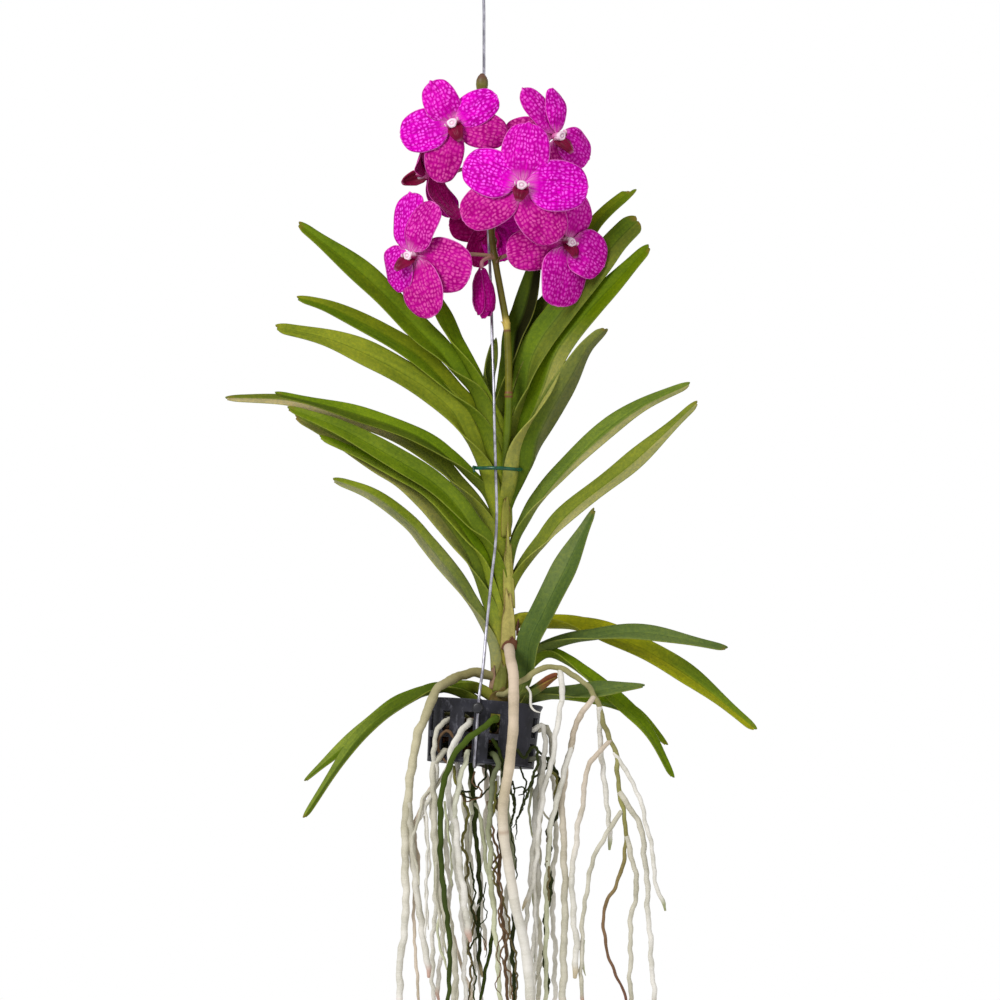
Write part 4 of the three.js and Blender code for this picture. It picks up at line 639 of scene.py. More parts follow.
def blade_into(piece, grid, thickness, tint, measure=0.0, place=0.0, along=0.0, turned=False):
    """A thin closed blade about a grid of points. Its share is place, along, and 1 on the face, 0 behind."""
    shape = grid.shape[:2]
    thickness = np.broadcast_to(thickness, shape)
    tint, measure = (np.broadcast_to(value, grid.shape) for value in (tint, measure))
    share = stack(place, along, np.ones(shape))
    if turned:
        grid, thickness, tint, measure, share = (a[:, ::-1] for a in (grid, thickness, tint, measure, share))
    normal = np.cross(np.gradient(grid, axis=1), np.gradient(grid, axis=0))
    normal /= np.maximum(np.linalg.norm(normal, axis=-1, keepdims=True), 1e-9)
    shift = normal * thickness[..., None] / 2
    number = np.arange(shape[0] * shape[1]).reshape(shape)
    size = number.size
    a, b, c, d = number[:-1, :-1], number[:-1, 1:], number[1:, 1:], number[1:, :-1]
    edge = np.concatenate([number[:, 0], number[-1, 1:], number[-2::-1, -1], number[0, -2:0:-1]])
    after = np.roll(edge, -1)
    groups = [stack(a, b, c, d), stack(a, d, c, b) + size, stack(edge, after, after + size, edge + size)]
    faces = np.vstack([group.reshape(-1, 4) for group in groups]).tolist()
    sides = {"tint": (tint, tint), "measure": (measure, measure), "share": (share, share * (1, 1, 0))}
    piece.add(np.concatenate([grid + shift, grid - shift]), faces,
              **{key: np.concatenate(pair).reshape(-1, 3) for key, pair in sides.items()})


# Materials


class Nodes:
    """Short ways to add and join the nodes of one material."""

    def __init__(self, name):
        self.material = bpy.data.materials.new(name)
        self.material.use_nodes = True
        self.tree = self.material.node_tree

    def link(self, value, socket):
        if value is None:
            return
        if isinstance(value, bpy.types.NodeSocket):
            self.tree.links.new(value, socket)
            return
        if hasattr(socket.default_value, "__len__"):
            size = len(socket.default_value)
            value = (*(value if hasattr(value, "__len__") else (value,) * size), 1.0)[:size]
        socket.default_value = value

    def add(self, kind, inputs=(), **settings):
        """A new node with its settings and with its inputs joined or set. Returns its outputs."""
        node = self.tree.nodes.new("ShaderNode" + kind)
        for key, value in settings.items():
            setattr(node, key, value)
        for key, value in dict(inputs).items():
            self.link(value, node.inputs[key])
        return node.outputs

    def attribute(self, name):
        return self.add("Attribute", attribute_name=name)["Vector"]

    def position(self):
        return self.add("TexCoord")["Object"]

    def split(self, vector):
        return self.add("SeparateXYZ", {0: vector})

    def combine(self, x, y, z):
        return self.add("CombineXYZ", {0: x, 1: y, 2: z})[0]

    def math(self, operation, a, b=None, clamp=False):
        return self.add("Math", {0: a, 1: b}, operation=operation, use_clamp=clamp)[0]

    def times(self, a, b, clamp=False):
        return self.math("MULTIPLY", a, b, clamp)

    def plus(self, a, b):
        return self.math("ADD", a, b)

    def noise(self, vector, scale=1.0, detail=3.0, roughness=0.55):
        inputs = {"Vector": vector, "Scale": scale, "Detail": detail, "Roughness": roughness}
        return self.add("TexNoise", inputs)["Fac"]

    def streaks(self, x, y, seed, detail=2.0, roughness=0.55):
        """Noise over two values, each given with its scale."""
        return self.noise(self.combine(self.times(*x), self.times(*y), seed), 1.0, detail, roughness)

    def stretched(self, vector, scale):
        return self.add("VectorMath", {0: vector, 1: scale}, operation="MULTIPLY")[0]

    def cells(self, vector, feature, randomness):
        inputs = {"Vector": vector, "Scale": 1.0, "Randomness": randomness}
        return self.add("TexVoronoi", inputs, feature=feature, voronoi_dimensions="2D")

    def step(self, value, low, high, out_low=0.0, out_high=1.0):
        inputs = {"Value": value, "From Min": low, "From Max": high, "To Min": out_low, "To Max": out_high}
        return self.add("MapRange", inputs, interpolation_type="SMOOTHSTEP")[0]

    def mix(self, factor, a, b, blend="MIX"):
        return self.add("Mix", {0: factor, 6: a, 7: b}, data_type="RGBA", blend_type=blend)[2]

    def over(self, colour, other, value, low, high, most=1.0):
        """The colour, with the other laid over it as the value goes from low to high."""
        return self.mix(self.step(value, low, high, 0.0, most), colour, other)

    def shade(self, colour, *factors):
        return self.mix(1.0, colour, factors, "MULTIPLY")

    def finish(self, colour, roughness, relief=None, bump_mm=0.0, strength=0.6, **constants):
        shader = self.tree.nodes["Principled BSDF"]
        if relief is not None:
            inputs = {"Distance": bump_mm * MM, "Strength": strength, "Height": relief}
            self.link(self.add("Bump", inputs)[0], shader.inputs["Normal"])
        self.link(colour, shader.inputs["Base Color"])
        self.link(roughness, shader.inputs["Roughness"])
        for key, value in constants.items():
            self.link(value, shader.inputs[key.replace("_", " ")])
        return self.material


def leaf_material():
    m = Nodes("leaf")
    place, along, side = m.split(m.attribute("share"))
    across_mm, along_mm, seed = m.split(m.attribute("measure"))
    tint, spot = m.attribute("tint"), m.position()
    off = m.math("ABSOLUTE", place)
    veins = m.streaks((across_mm, 1.5), (along_mm, 0.015), seed)
    patches = m.streaks((across_mm, 0.05), (along_mm, 0.022), seed, 3.0)
    colour = m.over(m.shade(tint, 0.8, 0.8, 0.66), m.shade(tint, 1.24, 1.14, 1.05), patches, 0.38, 0.66)
    colour = m.over(colour, m.shade(tint, 1.35, 1.28, 1.0), veins, 0.35, 0.7, 0.34)
    colour = m.over(colour, m.shade(tint, 0.6, 0.68, 0.6), veins, 0.42, 0.25, 0.3)
    # A pale band beside the midrib, a dark line along the midrib that is painted shade in the groove of the
    # fold, a duller underside and a pale edge.
    band = m.times(m.step(off, 0.02, 0.1), m.step(off, 0.34, 0.14))
    colour = m.mix(m.times(band, 0.22), colour, m.shade(tint, 1.4, 1.35, 1.2))
    # Painted shade: the dark line in the groove along the midrib.
    colour = m.over(colour, m.shade(tint, 0.42, 0.5, 0.4), off, 0.05, 0.012, 0.5)
    colour = m.mix(side, m.mix(0.2, colour, rgb((124, 132, 54))), colour)
    colour = m.over(colour, rgb((150, 156, 70)), off, 0.965, 1.0, 0.4)
    mottle = m.noise(spot, 420.0, 3.0, 0.7)
    colour = m.over(colour, m.shade(colour, 1.5, 1.36, 0.9), mottle, 0.46, 0.66, 0.5)
    colour = m.over(colour, m.shade(colour, 0.62, 0.7, 0.7), mottle, 0.46, 0.32, 0.45)
    colour = m.over(colour, rgb((60, 66, 22)), m.noise(spot, 260.0, 3.0, 0.6), 0.7, 0.76, 0.5)
    blotches = m.step(m.noise(spot, 130.0, 4.0, 0.7), 0.42, 0.6, 0.0, 0.8)
    colour = m.mix(m.times(m.step(along, 0.972, 1.0), blotches), colour, rgb((128, 104, 42)))
    relief = m.plus(veins, m.times(m.noise(spot, 900.0, 2.0), 0.5))
    return m.finish(colour, m.step(patches, 0.3, 0.7, 0.5, 0.6), relief, 0.14, 0.5, Specular_IOR_Level=0.05)


def petal_material():
    """Magenta with pink dots in rows along the veins, closer and duller on the lower sepals."""
    m = Nodes("petal")
    place, along, side = m.split(m.attribute("share"))
    row, along_mm, seed = m.split(m.attribute("measure"))
    dull = m.split(m.attribute("tint"))[0]
    off = m.math("ABSOLUTE", place)

    def streaks(across, lengthwise, shift=0.0):
        return m.streaks((row, across), (along_mm, lengthwise), m.plus(seed, shift))

    bend = m.times(m.math("SUBTRACT", streaks(0.3, 0.1), 0.5), 2.0)
    slip = m.times(m.math("SUBTRACT", streaks(0.3, 0.1, 5.0), 0.5), 1.6)
    across = m.plus(m.plus(row, bend), m.times(seed, 11.0))
    grid = m.combine(across, m.plus(m.times(along_mm, 0.31), slip), 0.0)
    centres = m.cells(grid, "F1", 0.6)
    edges = m.cells(grid, "DISTANCE_TO_EDGE", 0.6)[0]
    dot = m.times(m.step(centres[0], m.step(dull, 0.0, 1.0, 0.38, 0.48), 0.17),
                  m.step(m.split(centres[1])[0], 0.0, 0.9, 0.35, 1.0))
    # The dots stop short of the claw, and sooner in the middle of the petal than at its edges.
    inward = m.step(along, m.step(off, 0.0, 0.8, 0.26, 0.1), m.step(off, 0.0, 0.8, 0.44, 0.24))
    spots = m.times(dot, m.times(inward, m.step(off, 1.0, 0.86, 0.45, 1.0)), True)
    broad = streaks(0.22, 0.07)
    bright = m.over(rgb((236, 0, 206)), rgb((208, 0, 182)), broad, 0.35, 0.65)
    redder = m.over(rgb((204, 22, 150)), rgb((176, 6, 122)), broad, 0.35, 0.65)
    ground = m.mix(m.times(dull, 0.9), bright, redder)
    veins = streaks(2.2, 0.05)
    ground = m.over(ground, rgb((150, 0, 104)), veins, 0.48, 0.68, 0.5)
    ground = m.mix(m.times(m.step(edges, 0.12, 0.0, 0.0, 0.62), inward), ground, rgb((150, 0, 112)))
    pale = m.mix(dull, rgb((255, 92, 246)), rgb((226, 84, 172)))
    colour = m.mix(spots, ground, pale)
    sides = m.times(m.step(off, 0.95, 0.99), m.step(along, 0.12, 0.3))
    rim = m.times(m.math("MAXIMUM", sides, m.step(along, 0.972, 1.0)), 0.75)
    colour = m.mix(rim, colour, rgb((246, 128, 214)))
    claw = m.times(m.step(along, 0.27, 0.06), m.step(veins, 0.4, 0.6, 0.15, 0.95))
    colour = m.mix(claw, colour, rgb((236, 150, 206)))
    behind = m.mix(dull, rgb((188, 0, 150)), rgb((158, 0, 100)))
    behind = m.over(behind, rgb((104, 0, 66)), veins, 0.4, 0.7, 0.6)
    behind = m.mix(m.times(spots, 0.2), behind, pale)
    relief = m.plus(m.times(m.step(edges, 0.0, 0.3), 0.9), m.times(m.noise(m.position(), 1500.0, 2.0), 0.3))
    return m.finish(m.mix(side, behind, colour), 0.5, relief, 0.3, 0.7, Specular_IOR_Level=0.03)


def tinted_material(name, contrast, bump_mm, roughness, specular=0.3, blotch=None, rings=0.0):
    """A material that takes its colour from the piece's tint and breaks it up at two scales."""
    m = Nodes(name)
    tint, spot = m.attribute("tint"), m.position()
    broad, fine = m.noise(spot, 90.0, 4.0, 0.6), m.noise(spot, 620.0, 3.0, 0.6)
    dark = m.shade(tint, 1 - contrast, 1 - contrast, 1 - contrast * 1.15)
    light = m.shade(tint, *(1 + contrast * 0.4,) * 3)
    colour = m.over(dark, light, broad, 0.32, 0.68)
    colour = m.over(colour, light, fine, 0.35, 0.75, 0.5)
    relief = m.plus(fine, m.times(broad, 0.5))
    if rings:
        around_mm, along_mm, seed = m.split(m.attribute("measure"))
        bands = m.streaks((around_mm, 0.15), (along_mm, rings), seed, 3.0, 0.6)
        relief = m.plus(relief, m.times(bands, 1.2))
        colour = m.over(colour, dark, bands, 0.5, 0.75, 0.35)
    if blotch:
        hue, start = blotch
        colour = m.over(colour, rgb(hue), m.noise(spot, 210.0, 4.0, 0.7), start, start + 0.1, 0.75)
    return m.finish(colour, roughness, relief, bump_mm, Specular_IOR_Level=specular)


def root_material():
    m = Nodes("root")
    tint, spot = m.attribute("tint"), m.position()
    around_mm, along_mm, seed = m.split(m.attribute("measure"))
    broad = m.streaks((around_mm, 1.0), (along_mm, 0.045), seed, 4.0, 0.6)
    bands = m.streaks((around_mm, 0.3), (along_mm, 0.42), seed, 3.0, 0.65)
    fine = m.noise(spot, 760.0, 3.0, 0.6)
    dark = m.shade(tint, 0.62, 0.62, 0.54)
    colour = m.over(tint, dark, broad, 0.35, 0.68, 0.75)
    colour = m.over(colour, dark, bands, 0.55, 0.72, 0.28)
    colour = m.over(colour, m.shade(tint, 1.15, 1.15, 1.15), fine, 0.45, 0.75, 0.4)
    colour = m.over(colour, rgb((116, 90, 62)), m.noise(spot, 120.0, 5.0, 0.75), 0.69, 0.76, 0.7)
    relief = m.plus(m.times(bands, 1.3), fine)
    return m.finish(colour, 0.72, relief, 0.3, Specular_IOR_Level=0.15)


def wire_material():
    m = Nodes("galvanised_wire")
    spot = m.position()
    broad = m.noise(spot, 160.0)
    fine = m.noise(m.stretched(spot, (3.0, 3.0, 0.25)), 1500.0, 2.0)
    colour = m.over(rgb((150, 148, 160)), rgb((198, 196, 208)), broad, 0.35, 0.65)
    colour = m.over(colour, rgb((116, 112, 118)), fine, 0.5, 0.75, 0.4)
    return m.finish(colour, m.step(broad, 0.3, 0.7, 0.3, 0.46), fine, 0.04, 0.5, Metallic=0.85)


def basket_material():
    m = Nodes("basket_plastic")
    spot = m.position()
    chalk = m.noise(m.stretched(spot, (1.0, 1.0, 0.4)), 170.0, 5.0, 0.75)
    colour = m.over(rgb((25, 25, 31)), rgb((44, 44, 54)), m.noise(spot, 45.0, 4.0, 0.6), 0.3, 0.7)
    colour = m.over(colour, rgb((116, 116, 126)), chalk, 0.53, 0.72, 0.55)
    colour = m.over(colour, rgb((92, 94, 106)), m.add("NewGeometry")["Pointiness"], 0.52, 0.6, 0.45)
    relief = m.plus(m.noise(spot, 900.0, 3.0, 0.6), m.times(chalk, 0.6))
    return m.finish(colour, m.step(chalk, 0.4, 0.7, 0.42, 0.62), relief, 0.12, Specular_IOR_Level=0.3)


def plain_material(name, low, high, scale, roughness, bump_mm, **constants):
    m = Nodes(name)
    broad, fine = m.noise(m.position(), scale, 4.0, 0.6), m.noise(m.position(), scale * 9, 2.0)
    colour = m.over(rgb(low), rgb(high), broad, 0.32, 0.68)
    return m.finish(colour, roughness, m.plus(fine, broad), bump_mm, 0.5, **constants)


LEAF = leaf_material()
PETAL = petal_material()
COLUMN = tinted_material("column", 0.18, 0.2, 0.45, blotch=((214, 120, 170), 0.6))
LIP = tinted_material("lip", 0.4, 0.2, 0.4, 0.16)
STEM = tinted_material("stem", 0.3, 0.3, 0.5, blotch=((128, 94, 52), 0.6), rings=0.12)
SPIKE = tinted_material("spike", 0.28, 0.18, 0.45, blotch=((92, 60, 44), 0.66))
ROOT = root_material()
WIRE = wire_material()
BASKET_PLASTIC = basket_material()
CLIP_PLASTIC = plain_material("clip_plastic", (22, 22, 26), (40, 40, 46), 160.0, 0.38, 0.05)
TIE_COAT = plain_material("tie_coat", (2, 62, 40), (8, 92, 64), 300.0, 0.3, 0.06, Coat_Weight=0.1)


# The basket


BASKET_FRAME = np.array(Matrix.Translation(BASKET["rim"])
                        @ Euler((math.radians(BASKET["pitch"]), 0, 0)).to_matrix().to_4x4()
                        @ Euler((0, math.radians(BASKET["roll"]), 0)).to_matrix().to_4x4())
BASKET_FOOT = -BASKET["height"]
BASKET_FLOOR = BASKET_FOOT + BASKET["floor"]


def from_basket(points):
    """Points of the basket's frame in the row frame."""
    return np.asarray(points, float) @ BASKET_FRAME[:3, :3].T + BASKET_FRAME[:3, 3]


def wall_radius(height):
    return BASKET["rim_radius"] + (BASKET["rim_radius"] - BASKET["base_radius"]) * height / BASKET["height"]


def basket_point(angle, height, radius):
    return from_basket(around(np.radians(angle), radius, height))


def on_wall(angle, height, out=0.0):
    return basket_point(angle, height, wall_radius(height) + out)


def divided(first, pitch, cells, half, inner):
    """Angles of a ring of openings: the inner shares of each opening, then three steps to the next one."""
    between = [half + (pitch - 2 * half) * share for share in (0.25, 0.5, 0.75)]
    steps = [*(half * share for share in inner), *between]
    return [first + pitch * k + step for k in range(cells) for step in steps]


def ring_cells(rows, columns, base, is_open):
    """Faces of a ring of two-layered cells, its points counted from base, with walls round the open cells."""
    def number(i, j, layer):
        return base + (i * columns + j % columns) * 2 + layer

    faces = []
    for i in range(rows):
        for j in range(columns):
            if is_open(i, j):
                continue
            corners = [(i, j), (i + 1, j), (i + 1, j + 1), (i, j + 1)]
            faces += [[number(*corner, 0) for corner in corners],
                      [number(*corner, 1) for corner in corners[::-1]]]
            beside = [(i, (j - 1) % columns), (i + 1, j), (i, (j + 1) % columns), (i - 1, j)]
            for a, b, cell in zip(corners, corners[1:] + corners[:1], beside):
                if is_open(*cell):
                    faces.append([number(*a, 0), number(*a, 1), number(*b, 1), number(*b, 0)])
    return faces


def basket_wall():
    """Points and faces of the wall with its lip, its windows and the swelling behind the rib."""
    columns = WINDOWS["columns"]
    edge = math.degrees(math.asin(WINDOWS["width"] / 2 / wall_radius(-26)))
    angles = divided(WINDOWS["first"], 360 / columns, columns, edge, (-1, -0.33, 0.33, 1))
    heights = sorted({0, -1.2, -6.8, -16.7, -26.2, -35.5, -BASKET["lip_height"], *WINDOWS["upper"],
                      *WINDOWS["lower"], BASKET_FOOT}, reverse=True)
    rows, per_window = len(heights) - 1, len(angles) // columns

    def is_open(i, j):
        """Open air lies above the rim, and the floor closes the foot."""
        if i < 0 or i == rows:
            return i < 0
        window, step = divmod(j, per_window)
        middle = (heights[i] + heights[i + 1]) / 2
        in_row = any(low < middle < high for high, low in (WINDOWS["upper"], WINDOWS["lower"]))
        return in_row and step < 3 and window != WINDOWS["blank"]

    points = []
    for height in heights:
        for angle in angles:
            outer = wall_radius(height)
            if height > -BASKET["lip_height"]:
                outer += BASKET["lip_width"]
            elif abs((angle - RIB["angle"] + 180) % 360 - 180) < RIB["half_turn"]:
                outer += RIB["height"] * 0.8
            inner = wall_radius(height) - BASKET["wall"]
            turn = math.radians(angle)
            points += [around(turn, outer, height), around(turn, inner, max(height, BASKET_FLOOR))]
    return points, ring_cells(rows, len(angles), 0, is_open)


def basket_floor(base):
    """Points and faces of the floor: rings of cells with slots between them, round a plain hub."""
    radii = [FLOOR_SLOTS["inner"], 15, 21, FLOOR_SLOTS["outer"], BASKET["base_radius"] - 0.9]
    pitch = 360 / FLOOR_SLOTS["count"]
    angles = divided(pitch / 2, pitch, FLOOR_SLOTS["count"], FLOOR_SLOTS["half_turn"], (-1, 0, 1))
    columns = len(angles)
    levels = (BASKET_FOOT, BASKET_FLOOR)
    points = [around(math.radians(angle), radius, z) for radius in radii for angle in angles for z in levels]
    hub = base + len(points)
    points += [np.array([0.0, 0.0, z]) for z in levels]
    faces = ring_cells(len(radii) - 1, columns, base, lambda i, j: 0 <= i < 3 and j % 6 < 2)
    faces += [[hub + layer, base + 2 * j + layer, base + (2 * j + 2) % (2 * columns) + layer][::1 - 2 * layer]
              for j in range(columns) for layer in (0, 1)]
    return points, faces


def make_basket():
    points, faces = basket_wall()
    floor_points, floor_faces = basket_floor(len(points))
    points = from_basket(points + floor_points)
    shell = mesh_object("basket_shell", points, faces + floor_faces, BASKET_PLASTIC)
    work = bmesh.new()
    work.from_mesh(shell.data)
    loose = [vert for vert in work.verts if not vert.link_faces]
    bmesh.ops.delete(work, geom=loose, context="VERTS")
    bmesh.ops.remove_doubles(work, verts=work.verts, dist=0.05 * MM)
    bmesh.ops.recalc_face_normals(work, faces=work.faces)
    work.to_mesh(shell.data)
    work.free()
    bevel = shell.modifiers.new("edges", "BEVEL")
    bevel.width = BEVEL["width"] * MM
    bevel.segments = 2
    bevel.limit_method = "ANGLE"
    bevel.angle_limit = math.radians(BEVEL["angle"])
    shell.data.set_sharp_from_angle(angle=math.radians(BEVEL["angle"]))
    place_piece(shell, "basket", "basket")


def make_foot_ring():
    height = BASKET_FOOT + FOOT_RING["height"]
    centres = on_wall(np.linspace(0, 360, 121), height, -FOOT_RING["inward"])
    ring = Builder()
    tube_into(ring, centres, FOOT_RING["radius"], 8, False)
    ring.place("basket_bands", BASKET_PLASTIC, "basket")


# Wire, clip and tie


def make_wire():
    turn = np.radians(np.arange(-140, 101, 30))
    radius = HOOK_INNER_RADIUS + WIRE_RADIUS
    hook = stack(radius * np.sin(turn), 0.0, radius * np.cos(turn) - HOOK_INNER_RADIUS)
    seat = RIB["height"] + GAP + WIRE_RADIUS + WIRE_OFF_WALL
    beside = [on_wall(RIB["angle"], height, seat) for height in WIRE_BESIDE_WALL]
    end = [basket_point(RIB["angle"], BASKET_FOOT - below, BASKET["base_radius"] + out)
           for below, out in WIRE_END]
    line = Line([*hook, *WIRE_LINE, *beside, *end])
    wire = Builder()
    tube_into(wire, line.at(np.linspace(0, line.length, int(line.length / WIRE_STEP))), WIRE_RADIUS, 14)
    wire.place("wire_tube", WIRE, "steel", "wire_hanger")


def make_clip():
    radius, half, height = CLIP["radius"], CLIP["length"] / 2, CLIP["height"]
    out = wall_radius(height) + RIB["height"] + GAP + half + 0.8
    place = (Matrix(BASKET_FRAME.tolist()) @ Matrix.Rotation(math.radians(RIB["angle"]), 4, "Z")
             @ Matrix.Translation((0, -out, height)))
    profile = [(-half, radius - 1.6), (-half + 0.15, radius - 1.0), (-half + 0.7, radius - 0.25),
               (-half + 1.4, radius), (-0.7, radius), (-0.5, radius - 0.35), (0.1, radius - 0.35),
               (0.3, radius), (half - 0.6, radius), (half - 0.15, radius - 0.2), (half, radius - 0.7)]
    clip = Builder()
    lathe_into(clip, np.array(place)[:3, :3].T, np.array(place)[:3, 3], profile, 32)
    clip.place("clip_stopper", CLIP_PLASTIC, "clip", "wire_clip")


def make_tie():
    """The ring, and its two ends twisted round each other."""
    tie = Builder()
    turn = np.linspace(0, 2 * np.pi, 97)
    loop = stack(TIE["half_width"] * np.cos(turn), TIE["half_depth"] * np.sin(turn),
                 -TIE["lift"] * np.cos(turn) + 0.25 * np.sin(3 * turn))
    tube_into(tie, TIE["centre"] + loop, TIE["radius"], 12, False)
    line = Line(TIE_TAIL)
    s = np.linspace(0, line.length, 40)
    for phase in (0.0, np.pi):
        spin = s * TAIL_STRAND["twist"] + phase
        strand = line.at(s) + TAIL_STRAND["off"] * stack(0.0, np.cos(spin), np.sin(spin))
        tube_into(tie, TIE["centre"] + strand, TAIL_STRAND["radius"], 8)
    tie.place("tie_ring", TIE_COAT, "tie", "plant_tie")


# Stem and leaves


STEM_POINTS = [*from_basket([(*STEM_FOOT, BASKET_FLOOR + GAP), (*STEM_FOOT, CROWN["top"])]),
               *((x, 0, z) for x, z in STEM_LINE)]


def make_stem():
    line = Line(STEM_POINTS)
    s = np.linspace(0, line.length, 90)
    radius = lerp(4.9, 1.8, smoothstep(s / line.length, 0.6, 1)) + 0.2 * np.sin(s / 5.5)
    stem = Builder()
    tube_into(stem, line.at(s), radius, 20, tint=change(s, 20, 60, (146, 120, 66), (150, 158, 60)),
              measure=stack(0.0, s, 0.0))
    u = np.linspace(0, 1, 12)[:, None]
    v = np.linspace(-1, 1, 13)
    for k, (foot, azimuth, width, height, radius, hue) in enumerate(STEM_PLATES):
        turn = np.radians(azimuth + width * v * (1 - 0.55 * u ** 3))
        out = radius + 0.9 * u ** 3 + 0.25 * np.sin(6 * v + k)
        rise = height * u * (1 - 0.25 * np.abs(v) ** 1.5 + 0.1 * np.sin(5 * v + 2 * k))
        rim = np.maximum(smoothstep(u, 0.9, 1), smoothstep(np.abs(v), 0.86, 1))[..., None]
        blade_into(stem, at_height(STEM_POINTS, foot + rise) + around(turn, out, 0.0), 0.5,
                   lerp(rgb(hue), rgb(PLATE_EDGE), 0.7 * rim))
    stem.place("stem_core", STEM, "stem", "stem")


def leaf_line(leaf):
    """The middle of a leaf from the bottom of its sheath, its side of the stem and the sheath's length."""
    line = leaf["line"]
    x0, z0 = line[0]
    side = 1 if line[-1][0] >= x0 else -1
    start = leaf.get("start", 0)
    lengths = np.concatenate([[0], np.cumsum([math.dist(a, b) for a, b in zip(line, line[1:])])])
    t = lengths / lengths[-1]
    middle, tip = leaf["depth"]
    bow = start * (1 - t) * (1 - 2 * t) + 4 * middle * t * (1 - t) + tip * t * (2 * t - 1)
    points = [(x, y, z) for (x, z), y in zip(line, bow)]
    if "base" in leaf or z0 < NO_SHEATH_BELOW:
        return Line([(x0 - side * SHEATH_INWARD, start * 0.4, z0 - SHEATH_DROP), *points]), side, 0.0
    sheath = [at_height(STEM_POINTS, z0 - drop) + (SHEATH_OFF[side], 0, 0) for drop in SHEATH_STEPS]
    return Line([*sheath, *points]), side, SHEATH_STEPS[0] - SHEATH_SHOWS_FROM


def leaf_tint(leaf, grid, p, t, beyond):
    low, strip = rgb(leaf.get("low", leaf["hue"])), leaf.get("strip", 0.0)
    # The lower half's colour is partly painted shade, where that half faces away from the light, and partly
    # the paler underside.
    lower = 1 - smoothstep(p * np.sign(leaf["turn"]), strip - 0.1, strip + 0.1)
    high = change(t, 0.45, 0.75, leaf["hue"], leaf.get("outer", leaf["hue"]))
    tint = lerp(high, low, (lower * smoothstep(t, *leaf.get("low_span", (-2, -1))))[..., None])
    old = change(-grid[..., 2], 455, 560, SHEATH_GREEN, SHEATH_DRY)
    tint = lerp(tint, old, 0.8 * (1 - smoothstep(beyond, -12, 42))[..., None])
    if "dead" in leaf:
        tint = lerp(tint, rgb(DEAD_LEAF), smoothstep(t, leaf["dead"], leaf["dead"] + 0.1)[..., None])
    return tint


def make_leaf(name, leaf, seed, *nodes):
    line, side, sheath = leaf_line(leaf)
    rng = np.random.default_rng(seed)
    rows = np.linspace(0, 1, int(line.length / LEAF_STEP)) * line.length
    s = np.unique(np.concatenate([rows, line.length - np.array(TIP_ROWS)]))[:, None]
    beyond = s - sheath
    t = np.clip(beyond, 0, None) / (line.length - sheath)
    p = np.linspace(-1, 1, 15)
    p = np.sign(p) * np.abs(p) ** 0.85
    tangent = line.tangent(s)
    across = unit((0.0, 1.0, 0.0) - tangent * tangent[..., 1:2])
    up = np.cross(tangent, across) * side
    wobble = 3.0 * np.sin(s / 37 + rng.uniform(0, 6)) * smoothstep(beyond, 30, 90)
    base_fold, base_turn = leaf.get("base", (FOLD_AT_BASE, 0.0))
    turn = np.radians(lerp(base_turn, leaf["turn"], smoothstep(beyond, *TURN_SPAN)))
    roll = (turn + np.radians(wobble))[..., None]
    width = across * np.cos(roll) + up * np.sin(roll)
    face = up * np.cos(roll) - across * np.sin(roll)
    fold = np.radians(lerp(base_fold, FOLD_AT_TIP, smoothstep(beyond, *FOLD_SPAN)))
    foot_share, tip_share = leaf.get("foot", FOOT_SHARE), leaf.get("tip", TIP_SHARE)
    half = leaf["width"] / 2 * lerp(foot_share, 1, smoothstep(t, *FOOT_TAPER))
    half = half * lerp(1, tip_share, smoothstep(t, *TIP_TAPER))
    if sheath:
        flank = SHEATH_FLANK * lerp(0.45, 1, smoothstep(s, 0, 14)) * (0.75 if foot_share < 1 else 1)
        half = lerp(flank, half, smoothstep(beyond, -12, 22))
    # The given line is the middle of what shows from the front, and the keel lies below it.
    rise = np.sin(fold) * np.cos(turn)
    spread = np.abs(np.cos(fold) * np.sin(turn))
    sink = half * (np.minimum(0, rise - spread) + rise + spread) / 2
    half = half * np.sqrt(1 - 0.85 * np.clip((s - line.length) / TIP_ROUND + 1, 0, 1) ** 2)
    keel = np.sqrt(p ** 2 + 0.006) - math.sqrt(0.006)
    waves = 0.5 * np.sin(s / 11 + rng.uniform(0, 6)) * smoothstep(beyond, 40, 110) * np.sign(p) * p ** 2
    # Near its foot the leaf clasps the stem: both halves bow out and pass it front and back.
    cup = np.sign(p) * np.sqrt(1 - (1 - np.minimum(np.abs(p) / CLASP_BEND, 1)) ** 2)
    hug = 0.0 if "base" in leaf else 1 - smoothstep(beyond, *CLASP_SPAN)
    reach = CLASP[side] + CLASP_SLOPE * (s if sheath else s + 30)
    sideways = lerp(p * half * np.cos(fold), cup * reach, hug)
    notch = 1.3 * np.exp(-((p - 0.15) / 0.25) ** 2) - leaf.get("slant", 1.2) * p
    notch = notch * smoothstep(s, line.length - 7, line.length)
    grid = (line.at(s) - up * sink[..., None] + width * sideways[..., None]
            + face * (keel * half * np.sin(fold) + waves)[..., None] - tangent * notch[..., None])
    thick = lerp(1.0, 1.7, smoothstep(beyond, 5, 60)) * (0.45 + 0.55 * (1 - p ** 4))
    piece = Builder()
    blade_into(piece, grid, thick, leaf_tint(leaf, grid, p, t, beyond), stack(p * half, s, seed * 7.3), p, t,
               side > 0)
    piece.place(f"{name}_blade", LEAF, "leaf", *nodes)


# Flowers


